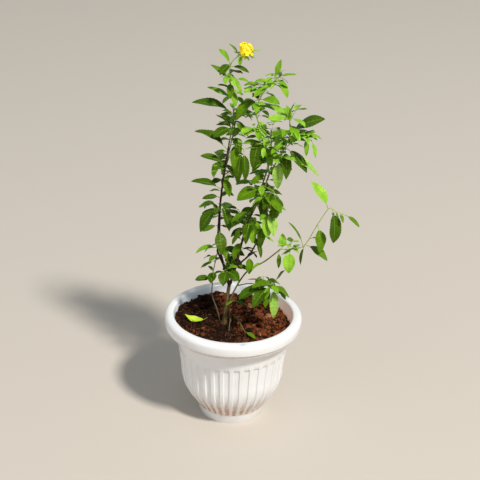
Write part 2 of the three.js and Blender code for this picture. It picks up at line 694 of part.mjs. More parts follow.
// The soil fills the pot to its uneven top.
function soil() {
  const wall = boreProfile(SOIL_CLEARANCE);
  const rim = wall[wall.length - 1].x;
  const top = [];
  for (let ring = 0; ring <= SOIL_RINGS; ring += 1) {
    top.push(new THREE.Vector2(rim * (1 - ring / SOIL_RINGS), SOIL_LEVEL));
  }
  const filled = lathe([...wall, ...top], BORE_SIDES);
  const heaped = (x, y, z) => new THREE.Vector3(x, y, z < SOIL_LEVEL ? z : soilHeight(x, y));
  return solidFrom(reshape(filled, heaped));
}

// Limbs and stems, each cut clear of those before it, and the room that each takes up.
const stems = new Map();
const sleeves = new Map();
for (const [name, shape] of [...Object.entries(LIMBS), ...Object.entries(SHOOTS)]) {
  const sides = { trunk: TRUNK_SIDES }[name] ?? (name in SHOOTS ? STEM_SIDES : LIMB_SIDES);
  const cleared = [...sleeves.values()].reduce((stem, sleeve) => stem.subtract(sleeve), limb(shape, sides));
  stems.set(name, joined([cleared]));
  sleeves.set(name, limb(shape, sides, GAP));
}

const plant = new THREE.Group();

function addPiece(name, solid, look) {
  const piece = new THREE.Mesh(geometryFrom(solid), look);
  piece.name = name;
  plant.add(piece);
}

function material(color, roughness) {
  return new THREE.MeshStandardMaterial({ color, roughness, metalness: 0 });
}

const bark = material(COLOURS.bark, 0.85);
const foliage = material(COLOURS.leaf, 0.5);

addPiece('pot', pot(), material(COLOURS.pot, 0.35));

const seated = Object.keys(LIMBS).filter((name) => LIMBS[name].seat);
const earth = seated.reduce((rest, name) => rest.subtract(sleeves.get(name)), soil());
addPiece('soil', earth, material(COLOURS.soil, 0.95));

for (const name of Object.keys(LIMBS)) {
  addPiece(name, stems.get(name), bark);
}

const grown = [];
for (const [name, shoot] of Object.entries(SHOOTS)) {
  const otherStems = [...stems].filter(([other]) => other !== name).map(([, stem]) => stem);
  const mass = foliageOf(name, shoot, stems.get(name), [...otherStems, ...grown]);
  grown.push(mass);
  addPiece(name, mass, foliage);
}

addPiece('fallen_leaf', leaf(FALLEN_LEAF), material(COLOURS.fallen, 0.5));

export default plant;
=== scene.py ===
"""Potted lantana: an open young shrub with a yellow flower head, in a fluted white plastic pot.

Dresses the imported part: the pot, the soil, the bark of trunk and boughs, and the leaves, twigs,
blossom and fruit that grow on from them. Sizes in the tables are millimetres and degrees, and
meshes are made in metres. The viewer stands on the -Y side, with +X to the right.
"""

import math

import bmesh
import bpy
import numpy as np
from mathutils import Matrix, Vector, noise


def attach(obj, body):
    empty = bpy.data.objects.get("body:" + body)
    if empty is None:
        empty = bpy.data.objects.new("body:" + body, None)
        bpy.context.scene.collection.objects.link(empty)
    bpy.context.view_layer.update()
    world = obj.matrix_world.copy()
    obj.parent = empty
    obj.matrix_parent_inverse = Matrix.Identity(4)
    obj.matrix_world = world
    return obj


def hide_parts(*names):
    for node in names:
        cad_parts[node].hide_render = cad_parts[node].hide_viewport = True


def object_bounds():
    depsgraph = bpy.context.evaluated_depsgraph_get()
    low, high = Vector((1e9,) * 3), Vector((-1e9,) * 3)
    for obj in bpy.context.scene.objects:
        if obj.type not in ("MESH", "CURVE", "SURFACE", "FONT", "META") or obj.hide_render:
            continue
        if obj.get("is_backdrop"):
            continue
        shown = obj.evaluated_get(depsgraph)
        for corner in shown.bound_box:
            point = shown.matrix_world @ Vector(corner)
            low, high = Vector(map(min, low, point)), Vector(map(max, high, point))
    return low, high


bl_info = {
    "name": "Potted lantana",
    "version": (1, 0, 0),
    "blender": (4, 5, 0),
    "location": "3D View > Sidebar > Lantana",
    "description": "Builds the looks of a potted lantana around its packed frame",
    "category": "Object",
}

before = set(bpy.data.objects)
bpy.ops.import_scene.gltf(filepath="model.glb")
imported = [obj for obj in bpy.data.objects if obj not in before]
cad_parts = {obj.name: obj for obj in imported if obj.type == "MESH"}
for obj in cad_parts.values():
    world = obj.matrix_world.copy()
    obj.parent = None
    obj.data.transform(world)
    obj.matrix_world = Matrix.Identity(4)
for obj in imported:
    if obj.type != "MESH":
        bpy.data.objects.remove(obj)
CAD_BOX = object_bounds()

MM = 0.001

# The pot's outline, as in the frame.
POT_HEIGHT = 205
RIM_RADIUS = 127
RIM_DEPTH = 22
RIM_ROLL = 9
RIM_DRAFT = 0.8
MOUTH_RADIUS = 110
MOUTH_EDGE = 4
STEP_DEPTH = 7
STEP_INSET = 5
STEP_WALL = 3
CHANNEL_TOP = 186
NECK_RADIUS = 108.5
NECK_HEIGHT = POT_HEIGHT - RIM_DEPTH - STEP_DEPTH
BELLY = (95.5, 92)
FOOT_RADIUS = 60.5
FOOT_TOP = (63, 12)
WALL = 2.6
FLOOR = 4
FOOT_PULL = (3, 20)
BELLY_PULL = (-0.5, -44)
NECK_PULL = (2.5, 33)
EDGE = 0.8
INSIDE_HEIGHTS = (NECK_HEIGHT, 150, 120, 92, 70, 44, 30, 18, 12)

# Flutes: shallow hollows with round corners, each between two flat lands. A flute is drawn in
# columns at these shares of the hollow, closer together at its edges, and in rows that are
# closer together at its ends. Its lower end is less deep.
FLUTES = 34
FLUTE_TOP = 139
FLUTE_FOOT = 18
FLUTE_CORNER = 3.4
FLUTE_SLOPE = 1.7
BOTTOM_HOLLOW = 0.15
FLUTE_RUN_OUT = 20
RUN_OUT_DEPTH = 0.3
LAND_HALF_ANGLE = 1.7
HOLLOW_COLUMNS = (0, 0.045, 0.09, 0.135, 0.3, 0.5, 0.7, 0.865, 0.91, 0.955, 1)
END_ROWS = np.arange(0, 6, 0.65)
MIDDLE_ROWS = np.linspace(FLUTE_FOOT + 9, FLUTE_TOP - 9, 20)
ROW_BELOW_FLUTES = 14.5
ROWS_ABOVE_FLUTES = (146, 156, 166)

# Dust lies in the flutes' feet, with a painted reflection of warm ground mixed in, full up to a
# height above them and then fading, over less height at a hollow's edge than in its middle. There
# is less on the lands, and most on one side.
DUST_AND_REFLECTION_FULL_HEIGHT = 10
DUST_AND_REFLECTION_FADING_HEIGHTS = (26.4, 48.4)
DUST_AND_REFLECTION_ON_LANDS = 0.25
DUST_AND_REFLECTION_ALL_ROUND = 0.6
DUST_AND_REFLECTION_SIDE = 15
# The step under the rim lies in shade and takes only a painted reflection of warm ground, in the
# dust's colour, at this strength and between these heights.
STEP_PAINTED_REFLECTION = 0.35
STEP_REFLECTION_HEIGHTS = (NECK_HEIGHT - 5, POT_HEIGHT - RIM_DEPTH - 0.5)

# Slack in telling the walls of the pot apart by their places.
SLACK = 1

# The mouth's inside has a painted glow, an emission that stands in for daylight through its thin
# wall and light bounced into it: on the shaded side by this share of the sunny side's, fading
# towards the rim's top. The colour goes from cool to warm with its strength.
SHADE_GLOW = 0.4
GLOW_TOP = POT_HEIGHT + 4
GLOW_FADE = 10
GLOW_STRENGTH = 0.25
WARM_GLOW = (1, 0.5, 0.25)
COOL_GLOW = (0.55, 0.8, 1)

# The faint blue smudge on the front of the rim: its turn round the pot, its radius, half its
# size each way, and its colour. The grime is fainter, and all over.
SMUDGE_TURN = 9.3
SMUDGE_HALF_TURN = 3
SMUDGE_RADIUS = 120.5
SMUDGE_HALF_WIDTH = 3
SMUDGE_COLOUR = (0.42, 0.56, 0.76)
GRIME_COLOUR = (0.62, 0.5, 0.4)
GRIME_SHARE = 0.14

# The soil's heaped top, as in the frame.
SOIL_LEVEL = 186
SOIL_SLOPE = -0.07
SOIL_RISE_TO_BACK = 0.02
LUMP_HEIGHT = 2.2
LUMP_LENGTH = (9, 11)
SMALL_LUMP_HEIGHT = 1.3
SMALL_LUMP_LENGTH = 4.5
SOIL_CLEARANCE = 0.5
SOIL_STEPS = 300
SOIL_RINGS = 92
SOIL_SIDE_HEIGHTS = (18, 44, 70, 92, 138, NECK_HEIGHT)

# Clods, chips and fibres lie within a radius, and off the oval under the fallen leaf, which is
# given by its middle and its half widths. Clods also keep clear of the two groups of stems.
STREWN_RADIUS = 104
LEAF_OVAL = ((-66, -8), (26, 14))
STEM_FEET = ((-9, -2), (12, -28))
CLEAR_OF_FEET = 15
SOIL_SEED = 71
# Chips are dealt into kinds by a pick that rises with the damp and painted shade; the last is
# darkest.
SOIL_KINDS = {"dry": 0.16, "husk": 0.72, "damp": 9}
CLOD_SWELLS = ((3, 0.14), (6, 0.08), (11, 0.05))
CHIP_LEAN = 35
FIBRE_RADIUS = 0.24
FIBRE_REACH = 105

# A limb's foot widens over this height, and is slightly lobed over a little more. A thick limb
# is drawn with more sides and closer rings than a thin one. Its relief is in shares of its radius.
FLARE_HEIGHT = 6
LOBES = 3
LOBE_DEPTH = 0.1
LOBE_HEIGHT = 10
THICK_RADIUS = 3
THICK_SIDES_SPACING = (28, 0.9)
THIN_SIDES_SPACING = (14, 1.6)
RIDGE_RELIEF = 0.07
GRAIN_RELIEF = 0.04
KNOT_RELIEF = 0.09
KNOT_SPACING = 19

# The lighter streaks in each kind of bark.
BARK_STREAKS = {
    "trunk": (0.4, 0.26, 0.11), "old": (0.12, 0.06, 0.035), "olive": (0.26, 0.28, 0.07),
    "green": (0.34, 0.5, 0.09), "pale": (0.5, 0.6, 0.18), "dead": (0.26, 0.22, 0.13),
}

# A leaf on its short stalk. Its blade is folded along the midrib by an angle, cupped and rippled
# by shares of its half width, and quilted between its veins by a share of its length.
STALK_SHARE = 0.2
STALK_RADIUS = 0.65
STALK_REACH = 0.86
LEAF_HALF_WIDTH = 0.25
LEAF_DROOP = 40
LEAN_TO_LIGHT = 26
LEAF_TEETH = 0.045
LEAF_FOLD = 21
FOLD_PLAY = 11
LEAF_CUP = 0.16
CUP_PLAY = 0.12
LEAF_RIPPLE = 0.08
RIPPLE_PLAY = 0.05
VEINS = 7
VEIN_SLANT = 1.6
QUILT_HEIGHT = 0.012
VEIN_COLOUR = (0.35, 0.6, 0.1)

# How far the seeded rule may stray, as in the frame.
HEADING_PLAY = 18
LIFT_PLAY = 16
ROLL_PLAY = 24
LENGTH_PLAY = 0.16
SPACING_PLAY = 0.2
PAIRS_FROM = 0.12
PAIRS_SPAN = 0.86
TIP_SHORTENING = 0.25
TWIGS_FROM = 0.3
TWIGS_SPAN = 0.5
TWIG_FIRST_TURN = 45
TWIG_TURN = 137.5
TWIG_LIFT = 40
TWIG_SHARE = 0.8
TWIG_LEAVES = ((1, 0, 0.7), (0.7, 90, 0.6), (0.7, -90, 0.6))


def limb_shape(bark, radius, route, **more):
    """A limb of one kind of bark, with its flare and its seat where it has them."""
    return {"bark": bark, "radius": radius, "route": route, **more}


def shoot_shape(bark, radius, route, tones, seed, **growth):
    """A mass of foliage on one stem, plain except for the growth that is given."""
    plain = {"own": [], "pairs": 1, "turn": 90, "leaf": 36, "lift": 0, "twigs": 0, "sprigs": 0}
    return limb_shape(bark, radius, route, tones=tones, seed=seed, **{**plain, **growth})


# Bare limbs: the kind of bark, the radius at each end, and the route from foot to tip. Those
# with a seat stand in the soil and have a level foot just under its top.
LIMBS = {
    "trunk": limb_shape(
        "trunk", (4, 3.2), [(-16, -5, 183.9), (-13.5, -3.5, 222), (-9, 0, 261)],
        flare=3.4, seat=True,
    ),
    "bough_left": limb_shape(
        "old", (2.5, 2), [(-9.5, 0, 262), (-21, 3, 303), (-31, 6, 325)],
    ),
    "bough_left_rear": limb_shape(
        "old", (2, 1.5), [(-8, 3, 262), (-18, 14, 290), (-28, 28, 324), (-29, 36, 350)],
    ),
    "bough_middle": limb_shape(
        "old", (2.5, 2), [(-8, -1, 262), (3, -4, 305), (9, -6, 337), (14, -8, 362)],
    ),
    "bough_right": limb_shape(
        "old", (1.8, 1.3), [(4, -5, 304), (27, -12, 332), (47, -22, 386), (52, -24, 405)],
    ),
    "bough_back": limb_shape(
        "old", (2, 1.6), [(-6, 3, 262), (0, 18, 288), (9, 36, 318), (14, 44, 337)],
    ),
    "bough_arch": limb_shape(
        "olive", (1.7, 1.2), [
            (-6.5, 4.5, 184.1), (-8, 2.5, 222), (-3.6, 2, 238), (12.4, -3, 276), (26.5, -8, 298),
            (55, -18, 322), (81, -26, 350),
        ],
        seat=True,
    ),
    "bough_low_right": limb_shape(
        "olive", (1.3, 1), [(7, -1.5, 262), (28, -12, 272), (46, -22, 275)],
    ),
    "bough_thin": limb_shape(
        "dead", (1.2, 1), [(-24.5, 4, 183.5), (-30.5, 4, 208), (-40, 3, 238), (-40, 1, 262)],
        seat=True,
    ),
    "bough_front": limb_shape(
        "olive", (1, 0.8), [(1.5, 4, 186), (3.5, -1, 196), (11, -22, 198.5), (18, -37, 192)],
        seat=True,
    ),
    "dead_twig": limb_shape(
        "dead", (1, 0.7), [(-3.5, -5, 186.4), (-4.5, -9, 196), (-6, -28, 198), (-7, -48, 192)],
        seat=True,
    ),
}

# Masses of foliage, each on one stem: its bark, radii and route, then the tones that deal out the
# leaf colours in order (d deep, m middle, b fresh, y young, p pale), then the rule's seed. The
# tones are partly the leaves' own colours and partly painted light and shade: a leaf in shade is
# given a deeper tone, and a leaf in the sun a fresher, younger or paler one. own lists the leaves
# that stand out by themselves, as place along the stem, heading, lift, length and, where it isn't
# 1, breadth. The rule adds pairs of leaves and axil twigs, and sprigs counts the finer shoots.
SHOOTS = {
    "foliage_left_foot": shoot_shape(
        "old", (1.9, 1.7), [(-31.5, 6, 326), (-31, 8, 373), (-30, 9, 396)],
        "bmddmdmb", 3, pairs=2, turn=100, lift=-20,
        own=[
            (0.12, 184, -16, 42, 1.1), (0.35, 300, -40, 42), (0.68, 285, -54, 52, 1.2),
            (0.2, 318, -46, 46),
        ],
    ),
    "foliage_left_lower": shoot_shape(
        "old", (1.7, 1.5), [(-30, 9, 396), (-28, 11, 430), (-25.5, 12, 456)],
        "ddddmdmd", 14, pairs=2, turn=80, leaf=34, lift=-15,
        own=[
            (0.33, 206, -50, 60, 1.3), (0.6, 180, -6, 34), (0.45, 310, -60, 56, 0.8),
            (0.86, 180, 14, 58),
        ],
    ),
    "foliage_left_middle": shoot_shape(
        "old", (1.5, 1.3), [(-25.5, 12, 456), (-22, 14, 490), (-17, 15, 522), (-14.5, 15, 540)],
        "dddmddmdd", 25, pairs=2, turn=95, leaf=32,
        own=[
            (0.45, 180, 20, 48), (0.38, 190, -6, 24), (0.4, 330, -6, 32), (0.2, 300, -52, 40),
            (0.79, 182, 30, 70, 1.1),
        ],
    ),
    "foliage_left_hanging": shoot_shape(
        "green", (1, 0.8), [(-16, 15, 531), (0, 4, 538), (11, -4, 532)],
        "ddmbm", 36, turn=100, leaf=30, lift=-10,
        own=[
            (0.85, 255, -72, 68, 0.8), (0.97, 285, -74, 58, 0.8), (0.5, 262, -58, 46),
            (0.7, 10, 10, 36),
        ],
    ),
    "foliage_left_upper": shoot_shape(
        "olive", (1.3, 1.1), [(-14.5, 15, 540), (-9, 14, 570), (-8, 12, 601)],
        "dddmmmmbdmm", 47, pairs=2, leaf=32, twigs=1, sprigs=1,
        own=[
            (0.34, 186, 44, 42, 0.8), (0.42, 212, -16, 42, 1.3), (0.86, 181, 14, 77, 0.9),
            (0.6, 330, -30, 36),
        ],
    ),
    "foliage_left_top": shoot_shape(
        "green", (1.1, 0.8),
        [(-8, 12, 601), (-12, 10, 636), (-17, 8, 659), (-14, 6, 687), (0, 4, 701), (8, 3, 706)],
        "bmbmddbmdmmbmb", 58, turn=85, leaf=30, sprigs=3, head="flower",
        own=[
            (0.14, 180, 26, 52, 0.8), (0.4, 180, 44, 50, 0.75), (0.7, 180, 54, 36, 1.1),
            (0.9, 180, 50, 28, 0.8), (0.68, 340, -10, 36, 0.9), (0.6, 330, 4, 28, 0.9),
            (0.58, 318, -50, 46, 0.6), (0.45, 275, -56, 32, 1.2), (0.74, 225, -30, 32, 1.3),
            (0.94, 320, -20, 20), (0.3, 200, 24, 30, 0.8), (0.32, 290, -50, 34),
        ],
    ),
    "foliage_rear_lower": shoot_shape(
        "old", (1.5, 1.3), [(-29, 36, 350), (-29, 42, 394), (-27, 46, 425)],
        "mdmdb", 69, pairs=3, turn=65, leaf=42, lift=-12, sprigs=2,
    ),
    "foliage_rear_upper": shoot_shape(
        "olive", (1.3, 1.1), [(-27, 46, 425), (-22, 50, 465), (-14, 50, 512)],
        "mdmb", 71, pairs=3, turn=40, leaf=42, lift=-5, twigs=1, sprigs=2,
    ),
    "foliage_rear_top": shoot_shape(
        "green", (1.1, 0.8), [(-14, 50, 512), (-6, 46, 556), (-4, 42, 590)],
        "mbm", 82, pairs=3, turn=60, lift=10, twigs=1, sprigs=3,
    ),
    "foliage_middle_lower": shoot_shape(
        "old", (1.9, 1.7), [(14, -8, 362), (25, -10, 403), (31, -9, 417)],
        "dbmdmbmmm", 93, pairs=2, lift=-15, twigs=1, sprigs=1,
        own=[
            (0.72, 256, -60, 48), (0.8, 286, -70, 50), (0.94, 200, -20, 44), (0.3, 220, -34, 38),
            (0.25, 330, -40, 36),
        ],
    ),
    "foliage_middle_upper": shoot_shape(
        "olive", (1.7, 1.4), [(31, -9, 417), (37, -8, 430), (49, -5, 460), (58, 0, 489)],
        "mdmdddm", 104, pairs=2, turn=80, lift=-10, sprigs=2,
        own=[
            (0.6, 206, -16, 56, 1.6), (0.45, 282, -64, 48, 1.1), (0.92, 200, -20, 38),
            (0.2, 320, -48, 40),
        ],
    ),
    "foliage_right_lower": shoot_shape(
        "olive", (1.3, 1), [(52, -24, 405), (56, -26, 431), (60, -28, 455), (66, -28, 474)],
        "ypddmmbdd", 115, pairs=2, turn=60, lift=-20, sprigs=2,
        own=[
            (0.3, 276, -72, 50, 1.2), (0.36, 306, -66, 52, 1.1), (0.92, 300, -74, 54),
            (0.9, 240, -44, 42), (0.5, 350, -20, 26),
        ],
    ),
    "foliage_upper_middle": shoot_shape(
        "green", (1.3, 1.1), [(56.3, 1.3, 489.7), (50, 6, 519), (42, 9, 555), (36, 9, 575)],
        "dbbmbbmbm", 126, pairs=2, turn=95, leaf=34, lift=-5, sprigs=4, head="fruit",
        own=[
            (0.78, 238, -68, 66, 0.9), (0.55, 300, -48, 42), (0.35, 330, -15, 36),
            (0.3, 215, -38, 38), (0.9, 215, -10, 36),
        ],
    ),
    "foliage_upper_middle_top": shoot_shape(
        "green", (1.1, 0.8),
        [(36, 9, 575), (30, 10, 597), (40, 10, 629), (53, 8, 648), (69, 6, 665)],
        "mybybbbbmbmbbyb", 137, pairs=2, leaf=34, lift=5, twigs=1, sprigs=6,
        own=[
            (0.48, 206, -38, 58, 1.5), (0.32, 340, -4, 54, 0.9), (0.45, 320, 4, 46, 1.2),
            (0.6, 215, 10, 44, 1.2), (0.7, 235, -8, 40), (0.92, 60, 64, 36, 0.9),
            (0.95, 310, -46, 40), (0.98, 350, 12, 32), (0.5, 200, 30, 38), (0.2, 200, 6, 34),
        ],
    ),
    "foliage_upper_right": shoot_shape(
        "green", (1.3, 0.9),
        [(58.7, -0.6, 489.3), (73, -6, 519), (84, -10, 545), (90, -12, 565), (88, -12, 596)],
        "dydpdpybybbbybmb", 148, pairs=2, turn=85, twigs=1, sprigs=6,
        own=[
            (0.76, 352, 27, 68, 1.4), (0.66, 344, 10, 58, 0.8), (0.5, 335, -42, 60, 1.2),
            (0.36, 350, -27, 78, 1), (0.5, 285, -74, 58), (0.28, 268, -78, 56, 1),
            (0.97, 190, 4, 40), (0.9, 120, 66, 34), (0.98, 20, 72, 32, 0.8), (0.8, 248, 0, 38),
            (0.9, 290, -20, 42), (0.6, 220, -20, 40),
        ],
    ),
    "foliage_upper_right_twig": shoot_shape(
        "green", (0.9, 0.7), [(90, -12, 562), (110, -20, 567), (128, -24, 560)],
        "byyby", 159, turn=70, leaf=24, sprigs=4,
        own=[
            (0.7, 285, -74, 34, 0.8), (0.97, 310, -66, 32, 0.8), (0.4, 250, -10, 30, 0.9),
            (0.55, 20, 10, 26),
        ],
    ),
    "foliage_back_lower": shoot_shape(
        "old", (1.6, 1.4), [(14, 44, 337), (25, 50, 376), (34, 52, 404)],
        "mdmb", 161, pairs=3, turn=40, leaf=42, lift=-12, sprigs=3,
    ),
    "foliage_back_upper": shoot_shape(
        "olive", (1.4, 1.1), [(34, 52, 404), (46, 53, 440), (56, 50, 476)],
        "mdbm", 172, pairs=3, turn=10, leaf=42, lift=-5, twigs=1, sprigs=3,
    ),
    "foliage_back_top": shoot_shape(
        "green", (1.1, 0.8), [(56, 50, 476), (60, 46, 516), (58, 42, 552)],
        "mbmy", 183, pairs=4, turn=60, lift=12, twigs=1, sprigs=4,
    ),
    "foliage_arch_middle": shoot_shape(
        "pale", (1.2, 1), [(81, -26, 350), (100, -32, 354), (121, -38, 362)],
        "yydmb", 194, turn=60, leaf=28, sprigs=1,
        own=[
            (0.08, 90, 76, 30, 1.4), (0.42, 266, -66, 44, 1.5), (0.9, 196, -18, 38, 0.4),
            (1, 184, 60, 58, 0.4),
        ],
    ),
    "foliage_arch_tip": shoot_shape(
        "pale", (1, 0.7), [
            (121, -38, 362), (129, -41, 376), (148, -46, 418), (165, -51, 446), (175, -52, 440),
            (194, -54, 433),
        ],
        "ydbmmdmmm", 205, pairs=0, leaf=26,
        own=[
            (0.71, 140, 45, 58, 0.95), (0.77, 304, -82, 66, 1.1), (0.16, 320, 20, 24, 0.7),
            (0.05, 342, -30, 50, 1.1), (0.42, 300, -76, 54, 1.2), (0.05, 220, -78, 40, 0.5),
            (0.97, 340, -34, 34, 0.8), (0.9, 290, -40, 20), (0.82, 330, -66, 18, 0.7),
        ],
    ),
    "foliage_thin": shoot_shape(
        "olive", (1, 0.8), [(-40, 1, 262), (-40.5, 0, 275), (-36, -3, 305), (-32, -8, 330)],
        "ddmmd", 216, turn=100, leaf=26, sprigs=1,
        own=[(0.15, 190, 0, 32, 1.3), (0.42, 262, -24, 30, 1.6), (0.95, 240, -10, 28)],
    ),
    "foliage_fork": shoot_shape(
        "olive", (1, 0.8), [(-18, 1, 290), (-17, -9, 296), (-14, -18, 298)],
        "ddbdm", 227, turn=60, leaf=24, sprigs=1,
        own=[(0.9, 262, -22, 36, 1.9), (0.8, 320, -16, 34, 1.7), (0.6, 340, 24, 28, 1.4)],
    ),
    "foliage_low_right": shoot_shape(
        "olive", (1, 0.8), [(46, -22, 275), (60, -28, 277), (74, -33, 283)],
        "dmmmdmpmmd", 238, turn=80, lift=-20, sprigs=2,
        own=[
            (0.35, 204, -20, 56, 1.2), (0.95, 200, -2, 44, 1.5), (0.97, 340, 60, 38),
            (0.95, 340, -50, 36), (0.75, 225, -34, 56, 1.2), (0.6, 255, -60, 42, 0.9),
            (0.9, 280, -80, 66, 0.7), (0.35, 330, -10, 40, 1.4),
        ],
    ),
    "foliage_low_leaf": shoot_shape(
        "olive", (0.9, 0.7), [(-7, 1.8, 226), (-1, -3.5, 231), (2, -6, 232)],
        "db", 249, pairs=0, leaf=20,
        own=[(0.9, 335, -10, 24, 1.2), (0.8, 200, -30, 18)],
    ),
    "foliage_front": shoot_shape(
        "olive", (0.9, 0.7), [(18, -37, 192), (20.5, -42, 190.5), (23, -47, 190)],
        "m", 251, pairs=0, leaf=18,
        own=[(0.9, 316, -8, 28, 0.9)],
    ),
}

# Single leaves that hang from the bare boughs, between the masses, as place along the bough,
# heading, lift, length, breadth and tone. The tones are partly painted light and shade, as in the
# masses.
BOUGH_LEAF_SEED = 407
BOUGH_LEAVES = {
    "bough_left": [(0.7, 325, -46, 44, 1.5, "d"), (0.4, 200, -10, 28, 1, "d")],
    "bough_middle": [
        (0.95, 225, -56, 38, 1.2, "m"), (0.75, 350, 8, 30, 1.2, "d"), (0.95, 170, 20, 24, 1, "d"),
        (0.45, 335, -24, 28, 1.2, "d"), (0.6, 205, -34, 32, 1.2, "d"), (0.3, 190, 10, 22, 1.2, "m"),
    ],
    "bough_right": [
        (0.3, 275, -72, 36, 1.2, "m"), (0.02, 320, -10, 18, 1.4, "m"), (0.6, 300, -60, 32, 0.9, "d"),
        (0.95, 250, -70, 46, 1, "d"), (0.2, 30, 20, 28, 1.1, "d"), (0.75, 350, -30, 30, 1, "y"),
    ],
    "bough_arch": [(0.78, 215, -25, 28, 1, "b"), (0.98, 280, -80, 34, 0.7, "m")],
    "bough_back": [
        (0.4, 70, -30, 40, 1, "m"), (0.8, 20, -40, 44, 1, "d"), (0.6, 130, -20, 36, 1, "m"),
    ],
    "bough_left_rear": [
        (0.5, 110, -30, 40, 1, "m"), (0.8, 160, -40, 38, 1, "d"), (0.54, 326, -14, 48, 1.6, "d"),
        (0.72, 342, -10, 50, 1.2, "d"),
    ],
}

# The fallen leaf on the soil, which curls up more than in the frame.
FALLEN_LEAF_SEED = 5
FALLEN_LEAF = {
    "foot": (-48, -14, 200.5), "heading": 174, "lift": 4, "length": 49, "breadth": 1.15, "roll": 4,
    "droop": -112, "fold": 26, "cup": -0.05,
}
FALLEN_LEAF_PATCHES = (0.42, 0.3, 0.06)

# The flower head and the cluster of unripe fruit: their place from their stem's tip, and size.
# The fruit's core is a few larger berries. Petals and their tubes have a faint painted glow, an
# emission that lightens their shade as sun through thin petals would.
BLOSSOM_SEED = 311
FLOWER = {
    "offset": (2, 0, 5), "radius": 10, "height": 13, "florets": 34, "width": 8.5, "top": 724.5,
    "core": (9, 9, 11.5), "foot": (0, 0, 5),
}
FLOWER_LOWEST = -0.8
BRACT = {"length": 18, "breadth": 0.8, "roll": 0}
BRACT_SPACING = 45
FLORET_SIDES = 20
FRUIT = {"offset": (4.5, -6, -11), "radius": 8, "height": 15.5, "berries": 80, "size": 2.1}
FRUIT_CORE = {"radius": 4, "height": 10, "berries": 20, "size": 2.6}
PETAL_GLOW = (1, 0.7, 0)
PETAL_GLOW_STRENGTH = 0.14

# Small closed buds, as place from the stem's tip, radius of the cluster and number of buds.
BUDS = {
    "foliage_upper_middle_top": ((1, -1, 4), 3.2, 16),
    "foliage_arch_tip": ((-24, -1, 3), 2.4, 10),
    "foliage_upper_right": ((0, -1, 4), 2.6, 10),
}

# Fine shoots in the axils: where they stand, how they rise, and their small leaves as place
# along the shoot, turn away from it, and length. Lengths are shares of the mass's leaf.
SPRIGS_FROM = 0.06
SPRIGS_SPAN = 0.9
SPRIG_SEED = 1000
SPRIG_LENGTH = 0.5
SPRIG_RISE = 34
SPRIG_LEAVES = (
    (0.4, 90, 1), (0.4, -90, 0.9), (0.8, 15, 0.85), (0.8, 175, 0.6), (1, 80, 0.6), (1, -75, 0.5),
)
SPRIG_SPACING_PLAY = 0.3
SPRIG_HEADING_PLAY = 40
SPRIG_LENGTH_PLAY = 0.4
SPRIG_RISE_PLAY = 24
SMALL_TURN_PLAY = 25
SMALL_LIFT = -14
SMALL_LIFT_PLAY = 30
SMALL_LENGTH_PLAY = 0.25
SMALL_BREADTH = 1.25
SMALL_BREADTH_PLAY = 0.25
SMALL_ROLL_PLAY = 34
SMALL_DROOP = 44
SMALL_DROOP_PLAY = 26

# How the stems of masses, twigs and fine shoots are drawn: their radii, sides and points.
STEM_SPACING = 2.5
STEM_KNOT_SPACING = 17
STEM_KNOT_RELIEF = 0.1
STEM_SIDES = 10
TWIG_DRAWN = {"radii": (0.8, 0.5), "sides": 6, "points": 6}
SPRIG_DRAWN = {"radii": (0.6, 0.3), "sides": 5, "points": 4}

# A fine shoot's leaves stay this clear of stems, which are felt for at points along them, except
# near their own foot. A leaf is the frame's where its tip is as near as this to a corner there.
ROOM_SPACING = 4
CLEAR_OF_STEMS = 2.4
CLEAR_OF_FOOT = 6
SAME_TIP = 1.2

# The camera stands where the photograph was taken from. The key light is the sun's, made soft,
# and the fill light is a small share of it. Both face the plant's middle, in metres.
CAMERA_PLACE = (8.65, -2270.4, 1463.7)
CAMERA_PITCH = 26.05
CAMERA_ROLL = 1.57
CAMERA_LENS = 105
CAMERA_SENSOR = 36
FLOOR_SIZE = 9
PLANT_MIDDLE = (0, 0, 0.36)
KEY_PLACE = (3.9, -4.8, 8.13)
KEY_SIZE = 1.3
KEY_COLOUR = (1, 0.97, 0.92)
FILL_PLACE = (-1.8, -1.6, 1.2)
FILL_SIZE = 1.6
FILL_SHARE = 0.0045
FILL_COLOUR = (0.9, 0.95, 1)
SKY_COLOUR = (0.87, 0.93, 1)


def lerp(low, high, share):
    return low + (high - low) * share


def seeded(seed):
    """A repeatable run of numbers from 0 to 1, the same as the frame's."""
    state = (seed * 2654435761) % 2**32
    while True:
        state = (state * 1664525 + 1013904223) % 2**32
        yield state / 2**32


def strays(seed):
    """A function that strays either side of nothing by up to a given play."""
    numbers = seeded(seed)
    return lambda play: (2 * next(numbers) - 1) * play


